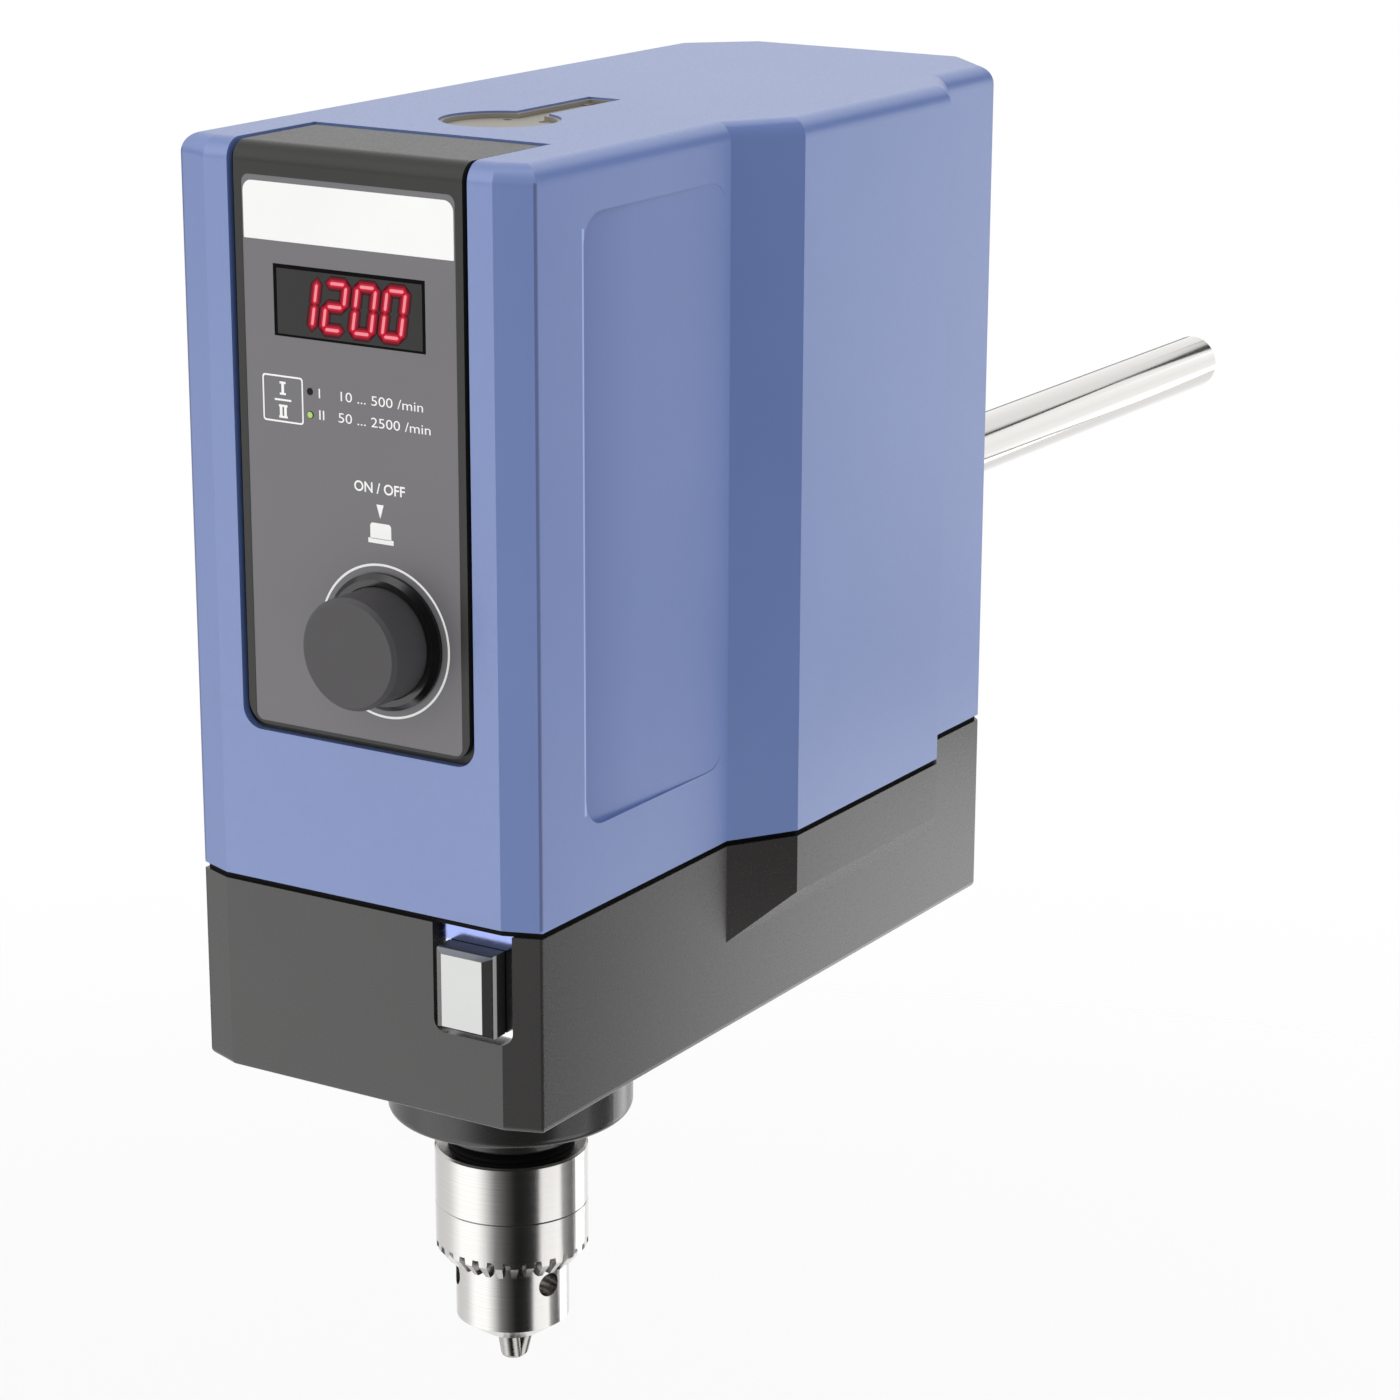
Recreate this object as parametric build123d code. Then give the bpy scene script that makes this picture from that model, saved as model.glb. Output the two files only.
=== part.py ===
"""Overhead laboratory stirrer with a two-speed gear and a keyed three-jaw chuck.

Millimetres, +Z up, +Y to the rear. The origin lies on the spindle axis at the mouth of the chuck,
level with the tips of its closed jaws. The stirrer hangs on the rod behind it.
"""
import os
from math import acos, atan2, cos, degrees, hypot, pi, radians, sin, sqrt, tan

from build123d import *

os.makedirs("parts", exist_ok=True)

# ---- driving dimensions -------------------------------------------------------------------------
# housing outline, seen from above
body_width = 95.0
body_depth = 225.0
front_to_spindle = 58.8
front_cut_x = 8.9           # front corner facets: across and back
front_cut_y = 3.3
rear_cut = 16.4             # rear corner facets, 45 degrees
bulge_out = 10.0            # motor bulge on the right side
bulge_start = 81.6          # from the front face
bulge_ramp = 16.2
bulge_end = 167.6
bulge_step = 17.0
# housing heights
base_bottom = 88.3
base_height = 46.7
gasket_thick = 1.4
hood_height = 170.2
top_round = 4.6
base_round = 1.6
bulge_floor = 22.5          # where the bulge starts above the base's bottom
bulge_heel = 8.5
hood_wall = 2.6
base_wall = 3.5
base_floor = 4.2
gasket_inset = 0.8
gasket_width = 2.6
# case screws and their posts
post_radius = 4.5
post_side = 6.5             # from the side face
post_front = 12.8           # from the front face
post_rear = 20.0            # from the rear face
hood_post_height = 30.0
case_screw_r = 1.5
case_screw_reach = 14.0
case_head_r = 2.8
case_head_deep = 2.4
# side recess of the hood
side_recess_front = 21.1
side_recess_back = 80.0
side_recess_low = 19.3      # above the hood's lower edge
side_recess_top = 12.5      # below the top
side_recess_round = 7.0
side_recess_deep = 1.3
# control panel
panel_half = 32.1
panel_low = 36.3            # above the hood's lower edge
panel_reach = 32.0          # how far it runs back on the top
panel_round = 5.0
slot_width = 1.5            # dark slot between the hood and the panel
slot_deep = 2.0
surround_thick = 1.8
panel_sink = 0.35
panel_thick = 2.4
foil_half = 28.6
foil_low = 2.2              # above the panel's lower edge
foil_top = 7.3              # below the top
foil_round = 2.0
foil_deep = 0.5
foil_thick = 0.4
window_width = 40.9
window_height = 16.0
window_down = 34.4          # from the top to its middle
window_thick = 1.2
window_sink = 0.15
display_margin = 1.6
display_deep = 6.5
lamp_x = -11.1
lamp_down = 54.0            # from the top to the upper lamp
lamp_pitch = 5.2
lamp_r = 0.8
# knob and encoder
knob_x = 7.9
knob_up = 25.7              # above the panel's lower edge
knob_r = 12.8
knob_front = 13.6           # in front of the panel face
knob_back = 1.1
knob_shell = 2.0
knob_hub_r = 5.5
knob_edge = 0.9
knob_push = 0.8
collar_wall = 2.6
collar_bevel = 1.2
collar_gap = 0.25
collar_high = 2.0
encoder_shaft_r = 3.0
encoder_half = 6.5
encoder_cavity_r = 4.6
plunger_r = 4.0
plunger_thick = 1.0
board_thick = 1.6
board_half = 27.5
board_up = 13.3             # above the panel's lower edge
board_down = 19.6           # below the top
board_behind_panel = 8.1
# selector
recess_side = 6.6           # from the right side
recess_width = 21.0
recess_low = 20.8           # above the base's bottom
recess_deep = 3.4
recess_wall = 2.5
recess_round = 3.0
plate_thick = 0.8
block_width = 15.0
block_height = 19.6
block_low = 22.9            # above the base's bottom
block_proud = 3.9
block_bevel = 2.0
block_bevel_deep = 1.2
block_play = 0.3
stem_width = 6.0
stem_height = 6.0
stem_low = 4.5              # above the block's lower edge
selector_travel = 4.0
stem_play = 0.3
# drive: spindle, layshaft and motor
spindle_r = 8.0
spindle_bore_r = 5.3
spindle_low = 44.5
spindle_over = 19.0         # above the gear plate's underside
shoulder_r = 11.0
run_gap = 0.04
end_gap = 0.3
bearing_out_r = 16.0
bearing_wide = 9.0
flange_r = 29.9
flange_high = 21.8
flange_round = 2.5
flange_lip = 5.5
flange_spigot_r = 21.0
neck_r = 17.0
neck_high = 6.4
neck_hole_r = 9.0
seal_r = 15.5
gear_module = 0.9
high_teeth = 42
low_teeth = 70
lay_low_teeth = 14
lay_drive_teeth = 56
pinion_teeth = 16
gear_face = 6.0
drive_face = 5.0
tooth_backlash = 0.14
pressure_angle = 20.0
addendum = 0.8
dedendum = 1.05
motor_x = 5.0
dog_count = 15
dog_in_r = 10.0
dog_out_r = 14.0
dog_high = 2.0
dog_angle = 10.4
clutch_r = 15.5
clutch_high = 7.0
groove_r = 13.0
groove_wide = 3.0
key_wide = 3.0
key_out = 1.4
key_gap = 0.1
fork_out_r = 18.5
fork_gap = 0.2
fork_arm = 5.0
fork_root = ((4.0, -14.5), (14.0, -9.0))
lay_shaft_r = 4.0
bush_out_r = 7.0
bush_deep = 3.2
plate_low = 42.7            # gear plate, above the base's bottom
plate_high = 4.0
plate_front = 20.8
plate_rear = 28.2
plate_boss_r = 20.0
plate_side_gap = 0.4
plate_screw_r = 1.5
plate_head_r = 2.8
plate_head_high = 2.0
motor_r = 41.0
motor_high = 72.0
motor_wall = 4.0
rotor_r = 24.0
rotor_gap = 0.6
rotor_high = 48.0
motor_shaft_r = 4.0
motor_bearing_r = 11.0
motor_bearing_wide = 7.0
guide_r = 8.0
guide_bore_r = 6.2
# chuck
nose_r = 14.0
nose_low = 12.1
nose_tip_r = 7.7
nose_tip = 7.7
chuck_top = 55.6
chuck_bore_r = 5.7
sleeve_r = 18.8
sleeve_low = 27.2
sleeve_bevel_in = 3.2
sleeve_bevel_high = 3.8
sleeve_high = 57.3
sleeve_bore_r = 16.6
sleeve_lip = 1.4
sleeve_line_z = 42.5
sleeve_teeth = 30
tooth_groove_deep = 2.2
tooth_groove_wide = 2.0
nut_low = 31.0
nut_high = 36.0
nut_gap = 0.15
jaw_r = 2.5
jaw_length = 33.0
jaw_tilt = 14.0
jaw_offset = 0.9            # of the jaw's axis from the spindle axis, at the mouth
jaw_split = 0.15
jaw_grip = 0.25
jaw_tip_cut = 0.7
jaw_travel = 20.8
key_hole_r = 3.0
key_hole_z = 23.3
key_hole_deep = 8.0
key_hole_turn = -15.8
# support rod and rear
rod_r = 8.0
rod_height = 51.3           # above the hood's lower edge
rod_shank_r = 6.0
rod_out = 215.0             # behind the rear face
rod_seat = 14.0
rod_end_cut = 1.0
boss_r = 13.0
boss_wall_gap = 0.4
carrier_thick = 10.0
carrier_half = 24.0
carrier_front = 35.0        # behind it to the rear face
nut_hex = 27.0
rod_nut_thick = 6.0
cover_half = 28.0
cover_up = 3.2              # above the hood's lower edge
cover_down = 18.6           # below the top
cover_round = 3.0
cover_gap = 0.3
cover_ledge = 1.0
vent_count = 9
vent_over_rod = 30.3
vent_pitch = 7.0
vent_high = 3.0
vent_half = 20.0
inlet_x = -10.5
inlet_under_rod = 27.7
inlet_width = 27.4
inlet_height = 20.0
inlet_deep = 22.0
inlet_rim = 2.2
inlet_rim_thick = 2.0
inlet_wall = 1.8
contact_width = 2.0
contact_height = 4.0
contact_pitch = 7.0
switch_x = 16.5
switch_width = 13.0
switch_height = 19.0
switch_rim = 1.5
switch_deep = 12.0
switch_wall = 1.2
rocker_gap = 0.3
rocker_tilt = 8.0
cover_screw_r = 1.5
cover_head_r = 2.6
cover_head_high = 1.6
cover_screw_in = 5.0
# shaft opening on the top
opening_r = 14.0
channel_half = 4.5
channel_back = 43.5
insert_deep = 4.6
insert_sink = 0.5
insert_wall = 0.9
insert_floor = 1.4
insert_hole_r = 8.2
cap_gap = 0.3
cap_thick = 1.6
cap_hinge_in = 3.0          # from the channel's rear end
cap_pin_r = 0.45
cap_pin_half = 4.1
cap_barrel_half = 2.2
cap_ear_gap = 0.3
cap_dimple_r = 1.1
cap_dimples = ((4.6, 10.6), (-4.4, 9.4))

# ---- derived places ------------------------------------------------------------------------------
front_y = -front_to_spindle
rear_y = front_y + body_depth
half_width = body_width / 2
base_top = base_bottom + base_height
hood_bottom = base_top + gasket_thick
hood_top = hood_bottom + hood_height
floor_z = base_bottom + base_floor
plate_z = base_bottom + plate_low
plate_top = plate_z + plate_high
panel_low_z = hood_bottom + panel_low
panel_face_y = front_y + panel_sink
foil_low_z = panel_low_z + foil_low
foil_high_z = hood_top - foil_top
window_z = hood_top - window_down
lamp_high_z = hood_top - lamp_down
lamp_low_z = lamp_high_z - lamp_pitch
knob_z = panel_low_z + knob_up
board_low = panel_low_z + board_up
board_high = hood_top - board_down
recess_right = half_width - recess_side
recess_left = recess_right - recess_width
spindle_high = plate_z + spindle_over
rod_z = hood_bottom + rod_height
cover_low = hood_bottom + cover_up
cover_high = hood_top - cover_down
vent_low = rod_z + vent_over_rod
inlet_z = rod_z - inlet_under_rod
lay_y = gear_module * high_teeth
drive_centres = gear_module * (lay_drive_teeth + pinion_teeth) / 2
motor_y = lay_y + sqrt(drive_centres**2 - motor_x**2)
flange_low = base_bottom - flange_high
neck_low = flange_low - neck_high
high_gear_z = floor_z + 1.3
dog_z = high_gear_z + gear_face
clutch_z = dog_z + dog_high + 0.2
low_dog_z = clutch_z + clutch_high + selector_travel + 0.2
low_gear_z = low_dog_z + dog_high
drive_z = low_gear_z + gear_face + 1.0
groove_z = clutch_z + (clutch_high - groove_wide) / 2
insert_top = hood_top - insert_sink
insert_low = hood_top - insert_deep
cap_low = insert_low + insert_floor
cap_hinge_z = cap_low + 0.05 + cap_thick / 2
cap_hinge_y = channel_back - cap_hinge_in


# ---- plain shapes --------------------------------------------------------------------------------
def box(x0, x1, y0, y1, z0, z1):
    return Pos((x0 + x1) / 2, (y0 + y1) / 2, (z0 + z1) / 2) * Box(x1 - x0, y1 - y0, z1 - z0)


def rod_up(radius, z0, z1, x=0.0, y=0.0):
    return Pos(x, y, (z0 + z1) / 2) * Cylinder(radius, z1 - z0)


def rod_back(radius, y0, y1, x, z):
    return Pos(x, (y0 + y1) / 2, z) * Rot(90, 0, 0) * Cylinder(radius, y1 - y0)


def ring_up(outer, inner, z0, z1, x=0.0, y=0.0):
    return rod_up(outer, z0, z1, x, y) - rod_up(inner, z0, z1, x, y)


def tablet(x0, x1, z0, z1, y0, y1, radius, corners="all"):
    """A plate facing the front, from y0 to y1, with its lower or all corners rounded."""
    outline = Pos((x0 + x1) / 2, (z0 + z1) / 2) * Rectangle(x1 - x0, z1 - z0)
    points = outline.vertices()
    if corners == "low":
        points = points.sort_by(Axis.Y)[:2]
    outline = fillet(points, radius)
    return extrude(Plane((0, y0, 0), x_dir=(1, 0, 0), z_dir=(0, -1, 0)) * outline, -(y1 - y0))


def revolved(profile):
    """A solid of revolution about the spindle axis from (radius, z) points."""
    line = Polyline(*[(r, 0, z) for r, z in profile], close=True)
    return revolve(make_face(line), Axis.Z)


def turned(shape, angle, count=1):
    return [Rot(0, 0, angle + 360 * i / count) * shape for i in range(count)]


# ---- housing envelope ----------------------------------------------------------------------------
def outline(inset=0.0):
    """The housing seen from above: faceted corners, with the motor bulge on the right."""
    points = [
        (-half_width + front_cut_x, front_y),
        (half_width - front_cut_x, front_y),
        (half_width, front_y + front_cut_y),
        (half_width, front_y + bulge_start),
        (half_width + bulge_out, front_y + bulge_start + bulge_ramp),
        (half_width + bulge_out, front_y + bulge_end),
        (half_width, front_y + bulge_end + bulge_step),
        (half_width, rear_y - rear_cut),
        (half_width - rear_cut, rear_y),
        (-half_width + rear_cut, rear_y),
        (-half_width, rear_y - rear_cut),
        (-half_width, front_y + front_cut_y),
    ]
    face = make_face(Polyline(*points, close=True))
    if inset:
        face = offset(face, amount=-inset, kind=Kind.INTERSECTION)
    return face


def hood_body(inset):
    """The hood's full form, inset on every side, from its lower edge to its rounded top."""
    body = extrude(Pos(0, 0, hood_bottom) * outline(inset), hood_height - inset)
    top = body.faces().sort_by(Axis.Z)[-1]
    return fillet(top.edges(), max(top_round - inset, 1.0))


def base_body(inset, bottom):
    """The base's form: below the bulge's 45 degree underside it keeps to the plain outline."""
    body = extrude(Pos(0, 0, bottom) * outline(inset), base_top - bottom)
    low = base_bottom + bulge_floor + inset * tan(radians(22.5))
    side = half_width - inset
    far = bulge_out + 10
    under = Polyline((side, 0, bottom - 5), (side + far, 0, bottom - 5), (side + far, 0, low + far),
                     (side, 0, low), close=True)
    body -= extrude(Pos(0, rear_y, 0) * make_face(under), body_depth, dir=(0, -1, 0))
    heel_y = front_y + bulge_end + bulge_step - inset
    heel = Polyline((side, heel_y - bulge_heel, low), (side, heel_y, low), (side, heel_y, low + bulge_heel),
                    close=True)
    heel_cut = extrude(make_face(heel), far, dir=(1, 0, 0))
    heel_cut -= Pos(side, heel_y - bulge_heel, low + bulge_heel) * Rot(0, 90, 0) * Cylinder(
        bulge_heel, 4 * far)
    return body - heel_cut


# ---- housing pieces ------------------------------------------------------------------------------
def post_places():
    return [(side * (half_width - post_side), y) for side in (-1, 1) for y in (front_y + post_front, rear_y - post_rear)]


def panel_zone(half, low, reach):
    return tablet(-half, half, low, hood_top + 5, front_y - 2, front_y + reach, panel_round, "low")


def keyhole(margin, z0, z1):
    """The outline of the shaft opening: a round seat with a channel that runs back."""
    round_part = rod_up(opening_r - margin, z0, z1)
    channel = box(-channel_half + margin, channel_half - margin, 0, channel_back - margin, z0, z1)
    return round_part + channel


def side_recess(side):
    """A shallow pocket in the side wall, deepest at its front edge and fading to nothing."""
    y0, y1 = front_y + side_recess_front, front_y + side_recess_back
    z0, z1 = hood_bottom + side_recess_low, hood_top - side_recess_top
    wedge = Polyline((half_width - side_recess_deep, y0), (half_width + 1, y0), (half_width + 1, y1),
                     (half_width, y1), close=True)
    pocket = extrude(Pos(0, 0, z0) * make_face(wedge), z1 - z0)
    frame = Pos((y0 + y1) / 2, (z0 + z1) / 2) * RectangleRounded(y1 - y0, z1 - z0, side_recess_round)
    window = extrude(Plane((half_width - 5, 0, 0), x_dir=(0, 1, 0), z_dir=(1, 0, 0)) * frame, 10)
    pocket = pocket & window
    return pocket if side > 0 else mirror(pocket, Plane.YZ)


def make_hood():
    hood = hood_body(0) - hood_body(hood_wall)
    for x, y in post_places():
        post = rod_up(post_radius, hood_bottom, hood_bottom + hood_post_height, x, y)
        hood += post - rod_up(case_screw_r, hood_bottom, hood_bottom + case_screw_reach + 1, x, y)
    hood -= panel_zone(panel_half, panel_low_z, panel_reach)
    hood -= keyhole(0, hood_top - hood_wall - 3, hood_top + 2)
    hood -= side_recess(1)
    hood -= side_recess(-1)
    hood -= tablet(-cover_half - cover_gap, cover_half + cover_gap, cover_low - cover_gap,
                   cover_high + cover_gap, rear_y - hood_wall - 1, rear_y + 1, cover_round)
    return hood


def make_gear_housing():
    body = base_body(0, base_bottom)
    rim = body.faces().sort_by(Axis.Z)[0]
    body = fillet(rim.edges(), base_round)
    body -= base_body(base_wall, floor_z)
    recess_y = front_y + recess_deep
    pad = box(recess_left - recess_wall, half_width - base_wall, front_y + 1, recess_y + recess_wall,
              base_bottom + recess_low - recess_wall, base_top)
    body += pad & base_body(0, base_bottom)
    for x, y in post_places():
        body += rod_up(post_radius, base_bottom + 1, base_top, x, y)
        body -= rod_up(case_screw_r + 0.2, base_bottom, base_top, x, y)
        body -= rod_up(case_head_r + 0.3, base_bottom, base_bottom + case_head_deep, x, y)
    for x, y in plate_screw_places():
        body += rod_up(post_radius, floor_z - 1, plate_z, x, y)
        body -= rod_up(plate_screw_r, plate_z - 9, plate_z, x, y)
    body -= tablet(recess_left, recess_right, base_bottom + recess_low, base_top + 5, front_y - 2,
                   recess_y, recess_round, "low")
    body -= stem_slot(front_y, recess_y + recess_wall + 1)
    body -= rod_up(flange_spigot_r, base_bottom - 1, floor_z + 1)
    body += ring_up(bush_out_r + 2, bush_out_r, floor_z - bush_deep, floor_z, 0, lay_y)
    body -= rod_up(bush_out_r, floor_z - bush_deep, floor_z + 1, 0, lay_y)
    return body


def make_gasket():
    ring = outline(gasket_inset) - outline(gasket_inset + gasket_width)
    ring = extrude(Pos(0, 0, base_top) * ring, gasket_thick)
    for x, y in post_places():
        ring -= rod_up(case_screw_r + 0.2, base_top - 1, hood_bottom + 1, x, y)
    return ring


def make_case_screws():
    """Four screws up through the base's posts into the hood's posts."""
    screws = []
    for x, y in post_places():
        head = rod_up(case_head_r, base_bottom + 0.4, base_bottom + case_head_deep, x, y)
        screws.append(head + rod_up(case_screw_r, base_bottom + case_head_deep,
                                    hood_bottom + case_screw_reach, x, y))
    return screws


# ---- control panel -------------------------------------------------------------------------------
def make_surround():
    """The frame that carries the panel, at the bottom of the slot round it."""
    skin = hood_body(slot_deep) - hood_body(slot_deep + surround_thick)
    frame = panel_zone(panel_half, panel_low_z, panel_reach)
    frame -= panel_zone(panel_half - slot_width, panel_low_z + slot_width, panel_reach - slot_width)
    return skin & frame


def make_control_panel():
    skin = hood_body(panel_sink) - hood_body(panel_sink + panel_thick)
    panel = skin & panel_zone(panel_half - slot_width, panel_low_z + slot_width, panel_reach - slot_width)
    panel -= tablet(-foil_half, foil_half, foil_low_z, foil_high_z, panel_face_y - 1,
                    panel_face_y + foil_deep, foil_round)
    panel -= window_cut(0)
    for z in (lamp_low_z, lamp_high_z):
        panel -= rod_back(lamp_r, panel_face_y - 1, panel_face_y + 5, lamp_x, z)
    panel -= rod_back(encoder_shaft_r + 1, panel_face_y - 1, panel_face_y + 5, knob_x, knob_z)
    return panel


def window_cut(margin):
    return box(-window_width / 2 + margin, window_width / 2 - margin, panel_face_y - 1, panel_face_y + 5,
               window_z - window_height / 2 + margin, window_z + window_height / 2 - margin)


def make_foil():
    face = panel_face_y + foil_deep - foil_thick
    foil = tablet(-foil_half, foil_half, foil_low_z, foil_high_z, face, face + foil_thick, foil_round)
    foil -= window_cut(0)
    for z in (lamp_low_z, lamp_high_z):
        foil -= rod_back(lamp_r, face - 1, face + 5, lamp_x, z)
    return foil - rod_back(encoder_shaft_r + 1, face - 1, face + 5, knob_x, knob_z)


def make_window():
    face = panel_face_y + window_sink
    return box(-window_width / 2, window_width / 2, face, face + window_thick,
               window_z - window_height / 2, window_z + window_height / 2)


def make_display():
    front = panel_face_y + panel_thick
    high = window_height / 2 + display_margin
    wide = window_width / 2 + display_margin
    body = box(-wide, wide, front, board_y(), window_z - high, window_z + high)
    lens = box(-window_width / 2 + 0.2, window_width / 2 - 0.2, panel_face_y + window_sink + window_thick,
               front, window_z - window_height / 2 + 0.2, window_z + window_height / 2 - 0.2)
    return body + lens


def make_lamps():
    """Two range lamps: lens in the panel, body back to the board."""
    lamps = []
    for z in (lamp_low_z, lamp_high_z):
        lamps.append(rod_back(lamp_r, panel_face_y, board_y(), lamp_x, z))
    return lamps


def board_y():
    return panel_face_y + panel_thick + board_behind_panel


def make_board():
    return box(-board_half, board_half, board_y(), board_y() + board_thick, board_low, board_high)


# ---- knob and encoder ----------------------------------------------------------------------------
def make_encoder():
    front = panel_face_y + panel_thick
    body = box(knob_x - encoder_half, knob_x + encoder_half, front, board_y(), knob_z - encoder_half,
               knob_z + encoder_half)
    body -= rod_back(encoder_cavity_r, front + 1.5, board_y() - 0.8, knob_x, knob_z)
    return body - rod_back(encoder_shaft_r + run_gap, front - 1, front + 3, knob_x, knob_z)


def plunger_y():
    return board_y() - 0.8 - 0.2 - knob_push - plunger_thick


def make_plunger():
    return rod_back(plunger_r, plunger_y(), plunger_y() + plunger_thick, knob_x, knob_z)


def make_encoder_shaft():
    return rod_back(encoder_shaft_r, panel_face_y - knob_front + knob_shell + 1.5, plunger_y(), knob_x, knob_z)


def make_knob():
    front = panel_face_y - knob_front
    back = panel_face_y - knob_back
    knob = rod_back(knob_r, front, back, knob_x, knob_z)
    knob = chamfer(knob.faces().sort_by(Axis.Y)[0].edges(), knob_edge)
    knob -= rod_back(knob_r - knob_shell, front + knob_shell, back + 1, knob_x, knob_z)
    knob += rod_back(knob_hub_r, front + knob_shell - 0.5, back, knob_x, knob_z)
    return knob - rod_back(encoder_shaft_r, front + knob_shell + 1.5, back + 1, knob_x, knob_z)


def make_knob_collar():
    """A bezel round the knob's foot, bevelled on its outer edge."""
    inner = knob_r + collar_gap
    collar = rod_back(inner + collar_wall, panel_face_y - collar_high, panel_face_y + foil_deep - foil_thick,
                      knob_x, knob_z)
    collar = chamfer(collar.faces().sort_by(Axis.Y)[0].edges(), collar_bevel)
    return collar - rod_back(inner, panel_face_y - collar_high - 1, panel_face_y + 2, knob_x, knob_z)


# ---- selector ------------------------------------------------------------------------------------
def block_x():
    return (recess_left + recess_right) / 2


def stem_slot(y0, y1):
    low = base_bottom + block_low + stem_low
    return box(block_x() - stem_width / 2 - stem_play, block_x() + stem_width / 2 + stem_play, y0, y1,
               low - stem_play, low + stem_height + selector_travel + stem_play)


def make_selector_plate():
    recess_y = front_y + recess_deep
    plate = tablet(recess_left, recess_right, base_bottom + recess_low, base_top, recess_y - plate_thick,
                   recess_y, recess_round, "low")
    return plate - stem_slot(front_y, recess_y + 1)


def fork_wall_y():
    return front_y + recess_deep + recess_wall + 1.5


def make_selector_block():
    low = base_bottom + block_low
    front = front_y - block_proud
    back = front_y + recess_deep - plate_thick - block_play
    x0, x1 = block_x() - block_width / 2, block_x() + block_width / 2
    block = box(x0, x1, front, back, low, low + block_height)
    block = chamfer(block.faces().sort_by(Axis.Y)[0].edges(), block_bevel_deep, block_bevel)
    stem_z = low + stem_low
    return block + box(block_x() - stem_width / 2, block_x() + stem_width / 2, back - 1, fork_wall_y(),
                       stem_z, stem_z + stem_height)


def make_fork():
    """A half ring in the clutch's groove, with an arm out to the selector's stem."""
    z0, z1 = groove_z + fork_gap, groove_z + groove_wide - fork_gap
    ring = ring_up(fork_out_r, groove_r + fork_gap, z0, z1)
    ring &= box(-fork_out_r, fork_out_r, -fork_out_r, 0, z0, z1)
    lug_x0, lug_x1 = block_x() - fork_arm + 0.6, block_x() + 1.6
    lug_y = fork_wall_y()
    arm = Polyline(fork_root[0], (lug_x0, lug_y), (lug_x1, lug_y), (lug_x1, lug_y + fork_arm), fork_root[1],
                   close=True)
    fork = ring + (extrude(Pos(0, 0, z0) * make_face(arm), z1 - z0) - rod_up(groove_r + fork_gap, z0, z1))
    stem_top = base_bottom + block_low + stem_low + stem_height
    return fork + box(lug_x0, lug_x1, lug_y, lug_y + 3, z0, stem_top)


# ---- gears ---------------------------------------------------------------------------------------
def involute(angle):
    return tan(angle) - angle


def gear(teeth, z0, z1, x=0.0, y=0.0, tooth_at=90.0, bore=spindle_r):
    """A spur gear with stub teeth; one tooth points at the given angle."""
    pitch_r = gear_module * teeth / 2
    base_r = pitch_r * cos(radians(pressure_angle))
    tip_r = pitch_r + addendum * gear_module
    root_r = pitch_r - dedendum * gear_module
    half_pitch = (pi * gear_module / 2 - tooth_backlash) / (2 * pitch_r)
    flank = [r for r in (max(base_r, root_r), pitch_r, tip_r)]
    if teeth > 30:
        flank = [flank[0], flank[2]]

    def half_at(radius):
        return half_pitch + involute(radians(pressure_angle)) - involute(acos(min(1.0, base_r / radius)))

    points = []
    for i in range(teeth):
        middle = radians(tooth_at) + 2 * pi * i / teeth
        rising = [(root_r, middle - half_at(flank[0]))] if flank[0] > root_r + 0.01 else []
        rising += [(r, middle - half_at(r)) for r in flank]
        falling = [(r, 2 * middle - angle) for r, angle in reversed(rising)]
        points += [(r * cos(a), r * sin(a)) for r, a in rising + falling]
    blank = extrude(Pos(x, y, z0) * make_face(Polyline(*points, close=True)), z1 - z0)
    return blank - rod_up(bore, z0 - 1, z1 + 1, x, y)


def dogs(z0, z1, turn):
    """A ring of clutch dogs, one of them centred on the given angle."""
    half = radians(dog_angle / 2)
    reach = dog_out_r / cos(half) + 1
    wedge = Polyline((0, 0), (reach * cos(half), -reach * sin(half)), (reach * cos(half), reach * sin(half)),
                     close=True)
    one = extrude(Pos(0, 0, z0) * make_face(wedge), z1 - z0) & ring_up(dog_out_r, dog_in_r, z0, z1)
    return turned(one, turn, dog_count)


def add_all(shape, extras):
    for extra in extras:
        shape = shape + extra
    return shape


def make_high_gear():
    body = gear(high_teeth, high_gear_z, dog_z, bore=spindle_r + run_gap)
    return add_all(body, dogs(dog_z - 0.5, dog_z + dog_high, 0))


def make_low_gear():
    body = gear(low_teeth, low_gear_z, low_gear_z + gear_face, bore=spindle_r + run_gap)
    return add_all(body, dogs(low_dog_z, low_gear_z + 0.5, 0))


def make_clutch():
    turn = 180 / dog_count
    top = clutch_z + clutch_high
    body = rod_up(clutch_r, clutch_z, top)
    body = add_all(body, dogs(clutch_z - dog_high, clutch_z + 0.5, turn))
    body = add_all(body, dogs(top - 0.5, top + dog_high, turn))
    body -= ring_up(clutch_r + 1, groove_r, groove_z, groove_z + groove_wide)
    body -= rod_up(spindle_r + run_gap, clutch_z - 5, top + 5)
    slot = key_wide / 2 + key_gap
    return body - box(-spindle_r - key_out - key_gap, spindle_r + key_out + key_gap, -slot, slot,
                      clutch_z - 5, top + 5)


def make_keys():
    """Two feather keys that turn the clutch with the spindle and let it slide."""
    keys = []
    for side in (-1, 1):
        inner, outer = spindle_r - 1.2, spindle_r + key_out
        low, high = sorted((side * inner, side * outer))
        keys.append(box(low, high, -key_wide / 2, key_wide / 2, dog_z + 0.6, low_dog_z - 0.2))
    return keys


def make_spindle():
    shaft = rod_up(spindle_r, spindle_low, spindle_high)
    shaft += rod_up(shoulder_r, flange_low + flange_lip + 2 * bearing_wide, high_gear_z - end_gap)
    for low, high in ((-spindle_r - 3, -spindle_r + 1.2), (spindle_r - 1.2, spindle_r + 3)):
        shaft -= box(low, high, -key_wide / 2, key_wide / 2, dog_z + 0.6, low_dog_z - 0.2)
    return shaft - rod_up(spindle_bore_r, spindle_low - 1, spindle_high + 1)


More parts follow.
